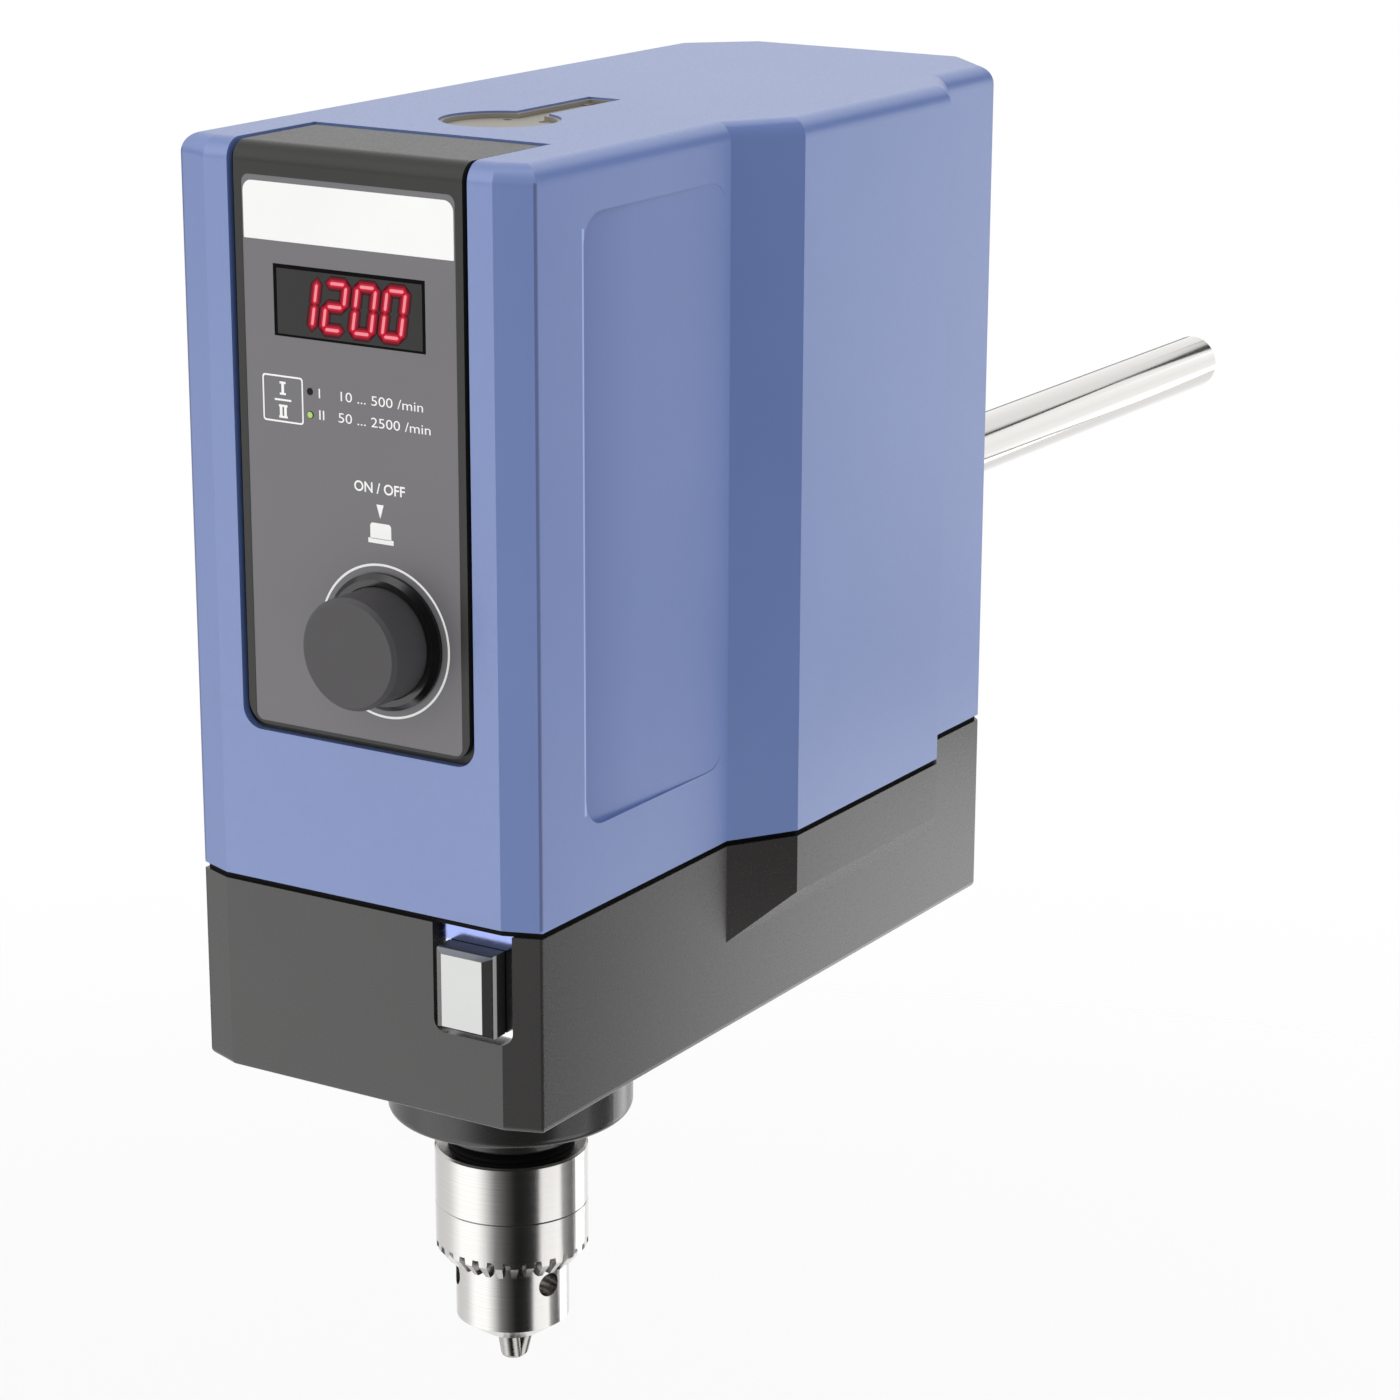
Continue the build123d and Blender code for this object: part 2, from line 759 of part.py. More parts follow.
def lay_turn(teeth):
    return -90 + 180 / teeth


def make_layshaft():
    return rod_up(lay_shaft_r, floor_z - bush_deep + end_gap, plate_top, 0, lay_y)


def make_lay_high_gear():
    return gear(high_teeth, high_gear_z, dog_z, 0, lay_y, lay_turn(high_teeth), lay_shaft_r)


def make_lay_low_gear():
    return gear(lay_low_teeth, low_gear_z, low_gear_z + gear_face, 0, lay_y, lay_turn(lay_low_teeth),
                lay_shaft_r)


def make_lay_drive_gear():
    line = degrees(atan2(motor_y - lay_y, motor_x))
    return gear(lay_drive_teeth, drive_z, drive_z + drive_face, 0, lay_y, line, lay_shaft_r)


def make_motor_pinion():
    line = degrees(atan2(motor_y - lay_y, motor_x))
    return gear(pinion_teeth, drive_z - 0.3, drive_z + drive_face + 0.3, motor_x, motor_y,
                line + 180 + 180 / pinion_teeth, motor_shaft_r)


def make_lay_bushes():
    low = ring_up(bush_out_r, lay_shaft_r + run_gap, floor_z - bush_deep, floor_z + 0.5, 0, lay_y)
    high = ring_up(bush_out_r, lay_shaft_r + run_gap, plate_z, plate_top, 0, lay_y)
    return [low, high]


def make_spindle_bearings():
    """Two ball bearings in the flange and one in the gear plate, as plain rings."""
    first = flange_low + flange_lip
    places = [first, first + bearing_wide, plate_z + 0.5]
    return [ring_up(bearing_out_r, spindle_r + run_gap, z + 0.05, z + bearing_wide - 0.05) for z in places]


def plate_screw_places():
    front = front_y + plate_front + 6
    back = rear_y - plate_rear - 6
    return [(side * (half_width - base_wall - 8), y) for side in (-1, 1) for y in (front, back)]


def make_gear_plate():
    """The plate that closes the gear case and carries the motor, the shafts and the rod's carrier."""
    shape = extrude(Pos(0, 0, plate_z) * outline(base_wall + plate_side_gap), plate_high)
    shape &= box(-half_width, half_width - base_wall - plate_side_gap, front_y + plate_front,
                 rear_y - plate_rear, plate_z, plate_top)
    shape += rod_up(plate_boss_r, plate_z, plate_z + bearing_wide + 1)
    shape -= rod_up(bearing_out_r, plate_z + 0.5, plate_top + bearing_wide + 1)
    shape -= rod_up(spindle_r + 2, plate_z - 1, plate_z + 2)
    shape -= rod_up(bush_out_r, plate_z - 1, plate_top + 1, 0, lay_y)
    shape -= rod_up(gear_module * pinion_teeth / 2 + 2, plate_z - 1, plate_top + 1, motor_x, motor_y)
    for x, y in plate_screw_places():
        shape -= rod_up(plate_screw_r + 0.2, plate_z - 1, plate_top + 1, x, y)
    return shape


def make_plate_screws():
    return [rod_up(plate_head_r, plate_top, plate_top + plate_head_high, x, y)
            + rod_up(plate_screw_r, plate_z - 8, plate_top, x, y) for x, y in plate_screw_places()]


# ---- motor ---------------------------------------------------------------------------------------
def make_motor_can():
    """Motor housing with its wound stack: an end wall at both ends with a bearing seat."""
    top = plate_top + motor_high
    can = rod_up(motor_r, plate_top, top, motor_x, motor_y)
    can = chamfer(can.faces().sort_by(Axis.Z)[-1].edges(), motor_wall - 1)
    can -= rod_up(rotor_r + rotor_gap, plate_top + 9, top - 9, motor_x, motor_y)
    can -= rod_up(motor_bearing_r, plate_top, plate_top + 9, motor_x, motor_y)
    can -= rod_up(motor_bearing_r, top - 9, top - motor_wall + 2, motor_x, motor_y)
    return can


def motor_bearing_places():
    return [plate_top + 1, plate_top + motor_high - 9]


def make_motor_bearings():
    return [ring_up(motor_bearing_r, motor_shaft_r + run_gap, z, z + motor_bearing_wide, motor_x, motor_y)
            for z in motor_bearing_places()]


def make_motor_shaft():
    return rod_up(motor_shaft_r, drive_z - 0.3, plate_top + motor_high - 3, motor_x, motor_y)


def make_rotor():
    middle = plate_top + motor_high / 2
    return ring_up(rotor_r, motor_shaft_r, middle - rotor_high / 2, middle + rotor_high / 2, motor_x, motor_y)


def make_guide_tube():
    """A fixed tube over the spindle that leads a long stirring shaft to the opening on the top."""
    foot = plate_z + bearing_wide + 1
    tube = ring_up(guide_r + 1.5, spindle_r + 0.6, foot, spindle_high + 2)
    tube += ring_up(guide_r + 1.5, guide_bore_r, spindle_high + 1, spindle_high + 2)
    tube += ring_up(guide_r, guide_bore_r, spindle_high + 1, insert_low)
    return tube + ring_up(bearing_out_r, spindle_r + 0.6, foot, foot + 2)


# ---- flange, neck and chuck ----------------------------------------------------------------------
def make_flange():
    body = rod_up(flange_r, flange_low, base_bottom)
    body = fillet(body.faces().sort_by(Axis.Z)[0].edges(), flange_round)
    body += rod_up(flange_spigot_r, base_bottom, floor_z)
    body -= rod_up(bearing_out_r, flange_low + flange_lip, floor_z + 1)
    return body - rod_up(neck_hole_r + 1, flange_low - 1, floor_z + 1)


def make_neck():
    ring = ring_up(neck_r, neck_hole_r, neck_low, flange_low)
    return chamfer(ring.faces().sort_by(Axis.Z)[0].edges().sort_by(SortBy.LENGTH)[-1], 0.6)


def make_seal():
    return revolved([(spindle_r, sleeve_high + 0.1), (seal_r, sleeve_high + 0.1), (seal_r, sleeve_high + 1.0),
                     (seal_r - 2.5, neck_low - end_gap), (spindle_r, neck_low - end_gap)])


def jaw_turns():
    return [key_hole_turn + 60 + 120 * i for i in range(3)]


def jaw_axis_r(z):
    return jaw_offset + z * tan(radians(jaw_tilt))


def jaw_line(radius, start, end):
    """A cylinder on the first jaw's line, leaning out from the mouth towards +X."""
    length = end - start
    tilt = radians(jaw_tilt)
    middle = (start + end) / 2
    place = Pos(jaw_offset + middle * sin(tilt), 0, middle * cos(tilt))
    return place * Rot(0, jaw_tilt, 0) * Cylinder(radius, length)


def make_jaw(turn):
    """A round jaw, cut to a third of a circle at the tip so that three of them close together."""
    jaw = jaw_line(jaw_r, -4, jaw_length)
    far = 60.0
    apex = jaw_split / sin(radians(60))
    third = Polyline((apex, 0), (apex + far, far * tan(radians(60))), (apex + far, -far * tan(radians(60))),
                     close=True)
    jaw &= extrude(make_face(third), far)
    jaw &= box(jaw_grip, far, -far, far, 0, far)
    tip_r = jaw_offset + jaw_r
    cone = revolved([(0, -0.1), (tip_r - jaw_tip_cut, -0.1), (tip_r + far, far + jaw_tip_cut - 0.1), (0, far)])
    return Rot(0, 0, turn) * (jaw & cone)


def nut_in_r(z):
    return jaw_axis_r(z) + jaw_r / cos(radians(jaw_tilt)) + nut_gap


def make_chuck_body():
    """Nose and core of the chuck: three slanted jaw slots, three key holes and the shaft's bore."""
    neck = 0.12
    profile = [(0, nose_tip), (nose_tip_r, nose_tip), (nose_r, nose_low), (nose_r, nut_low - 0.1),
               (nut_in_r(nut_low) - neck, nut_low - 0.1), (nut_in_r(nut_high) - neck, nut_high + 0.1),
               (nose_r, nut_high + 0.1), (nose_r, chuck_top), (0, chuck_top)]
    body = revolved(profile)
    body -= rod_up(chuck_bore_r, nose_tip - 1, chuck_top + 1)
    body -= rod_up(spindle_r, spindle_low, chuck_top + 1)
    slot = jaw_line(jaw_r + run_gap, -5, jaw_length + jaw_travel + 4)
    for turn in jaw_turns():
        body -= Rot(0, 0, turn) * slot
    hole = Pos(nose_r - key_hole_deep / 2 + 1, 0, key_hole_z) * Rot(0, 90, 0) * Cylinder(
        key_hole_r, key_hole_deep + 2)
    for cut in turned(hole, key_hole_turn, 3):
        body -= cut
    return body


def make_split_nut():
    inner_low, inner_high = nut_in_r(nut_low), nut_in_r(nut_high)
    return revolved([(inner_low, nut_low), (sleeve_bore_r, nut_low), (sleeve_bore_r, nut_high),
                     (inner_high, nut_high)])


def make_sleeve():
    """The turning sleeve, with a bevel ring of key teeth round its lower end."""
    lower_bore = nose_r + 0.06
    profile = [(lower_bore, sleeve_low), (sleeve_r - sleeve_bevel_in, sleeve_low),
               (sleeve_r, sleeve_low + sleeve_bevel_high), (sleeve_r, sleeve_line_z - 0.2),
               (sleeve_r - 0.25, sleeve_line_z), (sleeve_r, sleeve_line_z + 0.2),
               (sleeve_r, sleeve_high - 0.5), (sleeve_r - 0.5, sleeve_high),
               (nose_r + 0.5, sleeve_high), (nose_r + 0.5, sleeve_high - sleeve_lip),
               (sleeve_bore_r, sleeve_high - sleeve_lip), (sleeve_bore_r, nut_low), (lower_bore, nut_low)]
    sleeve = revolved(profile)
    lean = degrees(atan2(sleeve_bevel_in, sleeve_bevel_high))
    half = tooth_groove_wide / 2
    groove = Polyline((-half * 1.25, 1.0), (half * 1.25, 1.0), (half * 0.55, -tooth_groove_deep),
                      (-half * 0.55, -tooth_groove_deep), close=True)
    length = hypot(sleeve_bevel_in, sleeve_bevel_high) + 2.4
    cutter = extrude(make_face(groove), length / 2, both=True)
    middle_r = sleeve_r - sleeve_bevel_in / 2
    middle_z = sleeve_low + sleeve_bevel_high / 2
    cutter = Pos(middle_r, 0, middle_z) * Rot(0, lean, 0) * Rot(0, 0, -90) * cutter
    for cut in turned(cutter, 0, sleeve_teeth):
        sleeve -= cut
    return sleeve


# ---- support rod and rear ------------------------------------------------------------------------
def make_rod():
    """A ground rod with a thinner shank that screws into the boss, up to its shoulder on the nut."""
    shoulder = rear_y + rod_nut_thick
    rod = rod_back(rod_r, shoulder, rear_y + rod_out, 0, rod_z)
    rod = chamfer(rod.faces().sort_by(Axis.Y)[-1].edges() + rod.faces().sort_by(Axis.Y)[0].edges(), rod_end_cut)
    return rod + rod_back(rod_shank_r, rear_y - rod_seat, shoulder, 0, rod_z)


def make_rod_carrier():
    """A bracket on the gear plate with a long boss; the rod screws into the boss."""
    front = rear_y - carrier_front
    wall = box(-carrier_half, carrier_half, front, front + carrier_thick, plate_top, rod_z + boss_r)
    foot = box(-carrier_half, carrier_half, front - 8, front + carrier_thick, plate_top, plate_top + 5)
    boss = rod_back(boss_r, front, rear_y - boss_wall_gap, 0, rod_z)
    carrier = wall + foot
    carrier -= rod_up(motor_r + 0.5, plate_top - 1, plate_top + motor_high + 5, motor_x, motor_y)
    return carrier + boss - rod_back(rod_shank_r, rear_y - rod_seat, rear_y + 1, 0, rod_z)


def make_rod_nut():
    """Lock nut that holds the rod against turning out."""
    nut = RegularPolygon(nut_hex / 2, 6, major_radius=False)
    nut = extrude(Plane((0, rear_y, rod_z), x_dir=(1, 0, 0), z_dir=(0, 1, 0)) * nut, rod_nut_thick)
    nut &= rod_back(nut_hex / 2 * 1.1, rear_y, rear_y + rod_nut_thick, 0, rod_z)
    return nut - rod_back(rod_shank_r, rear_y - 1, rear_y + rod_nut_thick + 1, 0, rod_z)


def cover_screw_places():
    x = cover_half - cover_screw_in
    return [(side * x, z) for side in (-1, 1) for z in (cover_low + cover_screw_in, cover_high - cover_screw_in)]


def make_rear_cover():
    """The back panel, set in the hood's rear wall, with vents, inlet, switch and the rod's hole."""
    cover = tablet(-cover_half, cover_half, cover_low, cover_high, rear_y - hood_wall, rear_y, cover_round)
    ledge = cover_half + cover_ledge + 0.6
    inner = tablet(-ledge, ledge, cover_low - 2.5, cover_high + 2.5, rear_y - hood_wall - cover_ledge,
                   rear_y - hood_wall, cover_round)
    cover += inner
    for i in range(vent_count):
        z = vent_low + i * vent_pitch
        cover -= tablet(-vent_half, vent_half, z, z + vent_high, rear_y - 6, rear_y + 1, vent_high / 2 - 0.01)
    cover -= rod_back(boss_r + 0.3, rear_y - 6, rear_y + 1, 0, rod_z)
    cover -= box(inlet_x - inlet_width / 2, inlet_x + inlet_width / 2, rear_y - 6, rear_y + 1,
                 inlet_z - inlet_height / 2, inlet_z + inlet_height / 2)
    cover -= box(switch_x - switch_width / 2, switch_x + switch_width / 2, rear_y - 6, rear_y + 1,
                 inlet_z - switch_height / 2, inlet_z + switch_height / 2)
    for x, z in cover_screw_places():
        cover -= rod_back(cover_screw_r, rear_y - 6, rear_y + 1, x, z)
    return cover


def make_cover_screws():
    return [rod_back(cover_head_r, rear_y, rear_y + cover_head_high, x, z)
            + rod_back(cover_screw_r, rear_y - 7, rear_y, x, z) for x, z in cover_screw_places()]


def inlet_body(margin, y0, y1):
    """The inlet's outline: a rectangle with its two upper corners cut."""
    w, h = inlet_width / 2 - margin, inlet_height / 2 - margin
    cut = 4.5
    points = [(-w, -h), (w, -h), (w, h - cut), (w - cut, h), (-w + cut, h), (-w, h - cut)]
    face = Pos(inlet_x, inlet_z) * make_face(Polyline(*points, close=True))
    return extrude(Plane((0, y0, 0), x_dir=(1, 0, 0), z_dir=(0, -1, 0)) * face, -(y1 - y0))


def make_inlet():
    rim = inlet_rim
    body = box(inlet_x - inlet_width / 2 - rim, inlet_x + inlet_width / 2 + rim, rear_y,
               rear_y + inlet_rim_thick, inlet_z - inlet_height / 2 - rim, inlet_z + inlet_height / 2 + rim)
    body += inlet_body(0, rear_y - inlet_deep, rear_y)
    return body - inlet_body(inlet_wall, rear_y - inlet_deep + 5, rear_y + inlet_rim_thick + 1)


def make_contacts():
    """Three flat blades inside the inlet, the middle one higher."""
    blades = []
    for step, lift in ((-1, -2.0), (0, 2.0), (1, -2.0)):
        x, z = inlet_x + step * contact_pitch, inlet_z + lift
        blades.append(box(x - contact_width / 2, x + contact_width / 2, rear_y - inlet_deep + 5, rear_y - 4,
                          z - contact_height / 2, z + contact_height / 2))
    return blades


def make_switch_frame():
    rim = switch_rim
    w, h = switch_width / 2, switch_height / 2
    body = box(switch_x - w - rim, switch_x + w + rim, rear_y, rear_y + inlet_rim_thick, inlet_z - h - rim,
               inlet_z + h + rim)
    body += box(switch_x - w, switch_x + w, rear_y - switch_deep, rear_y, inlet_z - h, inlet_z + h)
    return body - box(switch_x - w + switch_wall, switch_x + w - switch_wall, rear_y - switch_deep + 1.5,
                      rear_y + 10, inlet_z - h + switch_wall, inlet_z + h - switch_wall)


def rocker_reach():
    return switch_height / 2 - switch_wall - rocker_gap


def make_rocker():
    """A V-fronted rocker, pressed in at its lower end."""
    w = switch_width / 2 - switch_wall - rocker_gap
    far = rocker_reach()
    lift = far * tan(radians(rocker_tilt))
    profile = Polyline((0, -5, -far), (0, 0.8 + lift, -far), (0, 0.8, 0), (0, 0.8 + lift, far), (0, -5, far),
                       (0, -7.5, 0), close=True)
    rocker = extrude(make_face(profile), w, both=True)
    rocker &= Rot(0, 90, 0) * Cylinder(far - 0.05, 3 * w)
    return Pos(switch_x, rear_y, inlet_z) * Rot(rocker_tilt, 0, 0) * rocker


# ---- shaft opening on the top ----------------------------------------------------------------------
def cap_axis_rod(radius, half):
    return Pos(0, cap_hinge_y, cap_hinge_z) * Rot(0, 90, 0) * Cylinder(radius, 2 * half)


def make_insert():
    """A tray that lines the opening, with a hole for the stirring shaft and ears for the cap's pin."""
    tray = keyhole(0, insert_low, insert_top)
    tray -= keyhole(insert_wall, cap_low, insert_top + 1)
    tray -= rod_up(insert_hole_r, insert_low - 1, cap_low + 1)
    for side in (-1, 1):
        low, high = sorted((side * (cap_barrel_half + cap_ear_gap), side * (channel_half - insert_wall)))
        tray += box(low, high, cap_hinge_y - 1.2, channel_back - insert_wall, cap_low, cap_hinge_z + 1.0)
    return tray - cap_axis_rod(cap_pin_r, cap_pin_half)


def make_cap():
    """A round flap over the shaft hole; its tongue runs back in the channel to the pin it turns on."""
    radius = opening_r - insert_wall - cap_gap
    low, high = cap_low + 0.05, cap_low + 0.05 + cap_thick
    tongue = channel_half - insert_wall - cap_gap
    flap = rod_up(radius, low, high) + box(-tongue, tongue, 0, cap_hinge_y - 1.8, low, high)
    flap += box(-cap_barrel_half, cap_barrel_half, cap_hinge_y - 2.5, cap_hinge_y, low, high)
    flap += cap_axis_rod(cap_thick / 2, cap_barrel_half)
    for x, y in cap_dimples:
        flap -= rod_up(cap_dimple_r, high - 0.8, high + 1, x, y)
    return flap - cap_axis_rod(cap_pin_r + run_gap, 20)


def make_cap_pin():
    return cap_axis_rod(cap_pin_r, cap_pin_half)


# ---- the assembly ----------------------------------------------------------------------------------
nodes = {
    "hood": make_hood,
    "gear_housing": make_gear_housing,
    "seam_gasket": make_gasket,
    "case_screws": make_case_screws,
    "panel_surround": make_surround,
    "control_panel": make_control_panel,
    "panel_foil": make_foil,
    "display_window": make_window,
    "display_module": make_display,
    "range_lamps": make_lamps,
    "control_board": make_board,
    "encoder_body": make_encoder,
    "encoder_plunger": make_plunger,
    "encoder_shaft": make_encoder_shaft,
    "speed_knob": make_knob,
    "knob_collar": make_knob_collar,
    "selector_plate": make_selector_plate,
    "selector_block": make_selector_block,
    "shift_fork": make_fork,
    "high_gear": make_high_gear,
    "low_gear": make_low_gear,
    "dog_clutch": make_clutch,
    "clutch_keys": make_keys,
    "spindle": make_spindle,
    "spindle_bearings": make_spindle_bearings,
    "layshaft": make_layshaft,
    "lay_high_gear": make_lay_high_gear,
    "lay_low_gear": make_lay_low_gear,
    "lay_drive_gear": make_lay_drive_gear,
    "layshaft_bushes": make_lay_bushes,
    "gear_plate": make_gear_plate,
    "plate_screws": make_plate_screws,
    "motor_can": make_motor_can,
    "motor_bearings": make_motor_bearings,
    "motor_shaft": make_motor_shaft,
    "motor_rotor": make_rotor,
    "motor_pinion": make_motor_pinion,
    "guide_tube": make_guide_tube,
    "bearing_flange": make_flange,
    "bearing_neck": make_neck,
    "spindle_seal": make_seal,
    "chuck_body": make_chuck_body,
    "chuck_sleeve": make_sleeve,
    "split_nut": make_split_nut,
    "support_rod": make_rod,
    "rod_carrier": make_rod_carrier,
    "rod_nut": make_rod_nut,
    "rear_cover": make_rear_cover,
    "cover_screws": make_cover_screws,
    "power_inlet": make_inlet,
    "inlet_contacts": make_contacts,
    "switch_frame": make_switch_frame,
    "power_rocker": make_rocker,
    "opening_insert": make_insert,
    "opening_cap": make_cap,
    "cap_pin": make_cap_pin,
}

for number, turn in enumerate(jaw_turns(), start=1):
    nodes[f"chuck_jaw_{number}"] = lambda turn=turn: make_jaw(turn)

for name, make in nodes.items():
    made = make()
    pieces = made if isinstance(made, list) else [made]
    export_step(Compound(children=pieces) if len(pieces) > 1 else pieces[0], f"parts/{name}.step")
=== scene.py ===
import math

import bpy
import bmesh
from mathutils import Matrix, Vector
from mathutils.bvhtree import BVHTree


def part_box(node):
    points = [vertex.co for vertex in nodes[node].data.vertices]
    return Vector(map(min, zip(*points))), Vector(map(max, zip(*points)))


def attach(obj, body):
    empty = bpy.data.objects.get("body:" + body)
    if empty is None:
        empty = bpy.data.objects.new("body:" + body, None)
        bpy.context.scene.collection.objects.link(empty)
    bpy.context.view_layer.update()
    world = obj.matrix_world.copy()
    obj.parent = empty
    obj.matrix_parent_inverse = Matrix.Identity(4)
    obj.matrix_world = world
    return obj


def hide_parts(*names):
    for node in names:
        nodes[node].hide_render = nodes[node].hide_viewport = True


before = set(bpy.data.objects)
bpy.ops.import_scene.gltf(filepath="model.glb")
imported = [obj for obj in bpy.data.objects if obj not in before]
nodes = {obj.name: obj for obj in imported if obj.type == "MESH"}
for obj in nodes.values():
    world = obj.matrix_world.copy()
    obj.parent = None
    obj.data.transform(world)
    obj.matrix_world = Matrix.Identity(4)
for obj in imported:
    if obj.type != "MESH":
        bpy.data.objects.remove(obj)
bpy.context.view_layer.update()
scene = bpy.context.scene
scene.view_settings.view_transform = "Standard"
mm = 0.001

# ---- Camera ----------------------------------------------------------------------------------------
# A long lens from the front right and a little above. It rolls by a third of a degree, and its shift sets
# the object off the middle of the picture.
camera_place = (0.50865, -0.7334, 0.4276)
turn, rise, roll = math.radians(31.44), math.radians(16.88), math.radians(0.325)
back = Vector((math.sin(turn) * math.cos(rise), -math.cos(turn) * math.cos(rise), math.sin(rise)))
level_right = (-back).cross(Vector((0, 0, 1))).normalized()
level_up = level_right.cross(-back)
right = level_right * math.cos(roll) + level_up * math.sin(roll)
up = level_up * math.cos(roll) - level_right * math.sin(roll)
camera = bpy.data.objects.new("camera", bpy.data.cameras.new("camera"))
camera_turn = Matrix((right, up, back)).transposed().to_4x4()
camera.matrix_world = Matrix.Translation(camera_place) @ camera_turn
camera.data.sensor_width = 36
camera.data.lens = 100.72
camera.data.shift_x = -0.01664
camera.data.shift_y = 0.03629
camera.data.clip_end = 60
scene.collection.objects.link(camera)
scene.camera = camera


# ---- Studio ----------------------------------------------------------------------------------------
# An even white room with three weak soft lamps. Reflections see other walls, white ahead of the object and
# dark to its right with a dark line at the horizon, and three white cards, so that polished metal shows
# bright and dark bands.
def linear(code):
    """An sRGB hex colour as linear RGBA."""
    parts = [int(code[i:i + 2], 16) / 255 for i in (1, 3, 5)]
    return [c / 12.92 if c <= 0.04045 else ((c + 0.055) / 1.055) ** 2.4 for c in parts] + [1.0]


def add_node(tree, kind, links=None, **settings):
    """Adds a node. links gives its inputs, as an output to link or a value to set."""
    node = tree.nodes.new(kind)
    for key, value in settings.items():
        setattr(node, key, value)
    for socket, source in (links or {}).items():
        if isinstance(source, bpy.types.NodeSocket):
            tree.links.new(source, node.inputs[socket])
        else:
            node.inputs[socket].default_value = source
    return node


def reckon(tree, operation, *values):
    """The result of a sum on values or outputs."""
    return add_node(tree, "ShaderNodeMath", dict(enumerate(values)), operation=operation).outputs[0]


def spread(tree, value, start, end, low=0.0, high=1.0, **settings):
    """A value carried over from start and end to low and high."""
    return add_node(tree, "ShaderNodeMapRange", {"Value": value, "From Min": start, "From Max": end,
                                                 "To Min": low, "To Max": high}, **settings).outputs[0]


def ramp(tree, value, stops):
    """A colour ramp on a value. stops are (place, grey level or colour)."""
    node = add_node(tree, "ShaderNodeValToRGB", {"Fac": value})
    elements = node.color_ramp.elements
    for place, _ in stops[2:]:
        elements.new(place)
    for element, (place, shade) in zip(elements, stops):
        element.position = place
        element.color = shade if isinstance(shade, (list, tuple)) else (shade, shade, shade, 1)
    return node.outputs[0]


def bare_tree(owner):
    """The emptied node tree of a world or a material."""
    owner.use_nodes = True
    owner.node_tree.nodes.clear()
    return owner.node_tree


def aim_lamp(name, place, target, size, level):
    """A square soft lamp. level is what a white surface facing it would show."""
    data = bpy.data.lights.new(name, "AREA")
    data.shape = "SQUARE"
    data.size = size
    way = Vector(target) - Vector(place)
    data.energy = level * math.pi ** 2 * way.length ** 2
    lamp = bpy.data.objects.new(name, data)
    lamp.location = place
    lamp.rotation_euler = way.to_track_quat("-Z", "Y").to_euler()
    lamp.visible_camera = False
    scene.collection.objects.link(lamp)
    return lamp


def white_card(name, place, target, size, shade):
    """A lit card that only reflections see. shade is its brightness."""
    card = aim_lamp(name, place, target, size, 1.0)
    card.data.energy = shade * math.pi * size ** 2
    card.visible_diffuse = False


for name, place, level in (("lamp_front_left", (-1.25, -1.5, 0.65), 0.14),
                           ("lamp_right_rear", (1.6, 1.2, 0.6), 0.12),
                           ("lamp_over", (-0.1, 0.2, 2.2), 0.12)):
    aim_lamp(name, place, (0, 0.05, 0.2), 1.0, level).visible_glossy = False
white_card("card_rear_right", (0.28, 0.64, 0.19), (0.05, 0.12, 0.2), 0.36, 1.2)
white_card("card_rear_low", (0.27, 0.64, -0.19), (0.05, 0.12, 0.11), 0.32, 2.1)
white_card("card_low_right", (0.5, 0.04, -0.3), (0, 0, 0.04), 0.38, 1.5)

# Brightness of the mirrored walls by bearing in degrees, 0 ahead of the object and 90 to its right, and by
# height, from 0 straight down to 1 straight up.
wall_shades = {-180: 0.6, -149: 0.65, -110: 0.5, -71: 0.6, -50: 1.0, -18: 1.0, 9: 0.16, 25: 0.05, 40: 0.0,
               100: 0.02, 120: 0.25, 140: 0.03, 155: 0.04, 165: 0.6, 180: 0.6}
level_shades = [(0.0, 0.75), (0.30, 0.95), (0.44, 0.95), (0.485, 0.12), (0.515, 0.2), (0.56, 1.0), (1.0, 1.0)]
plain_strength, mirrored_strength, seen_strength = 0.9, 1.8, 1.0
world = bpy.data.worlds.new("studio")
scene.world = world
tree = bare_tree(world)
way = add_node(tree, "ShaderNodeTexCoord").outputs["Generated"]
axes = add_node(tree, "ShaderNodeSeparateXYZ", {0: way}).outputs
bearing = reckon(tree, "ARCTAN2", axes["X"], reckon(tree, "MULTIPLY", axes["Y"], -1.0))
walls = ramp(tree, spread(tree, bearing, -math.pi, math.pi),
             [((angle + 180) / 360, shade) for angle, shade in wall_shades.items()])
levels = ramp(tree, spread(tree, axes["Z"], -1.0, 1.0), level_shades)
mirrored = add_node(tree, "ShaderNodeMix", {"Factor": 1.0, "A": walls, "B": levels},
                    data_type="RGBA", blend_type="MULTIPLY").outputs["Result"]
rooms = [add_node(tree, "ShaderNodeBackground", {"Color": colour, "Strength": strength}).outputs[0]
         for colour, strength in (((1, 1, 1, 1), plain_strength), (mirrored, mirrored_strength),
                                  ((1, 1, 1, 1), seen_strength))]
ray = add_node(tree, "ShaderNodeLightPath").outputs
unseen = add_node(tree, "ShaderNodeMixShader", {0: ray["Is Glossy Ray"], 1: rooms[0], 2: rooms[1]})
room = add_node(tree, "ShaderNodeMixShader", {0: ray["Is Camera Ray"], 1: unseen.outputs[0], 2: rooms[2]})
add_node(tree, "ShaderNodeOutputWorld", {"Surface": room.outputs[0]})

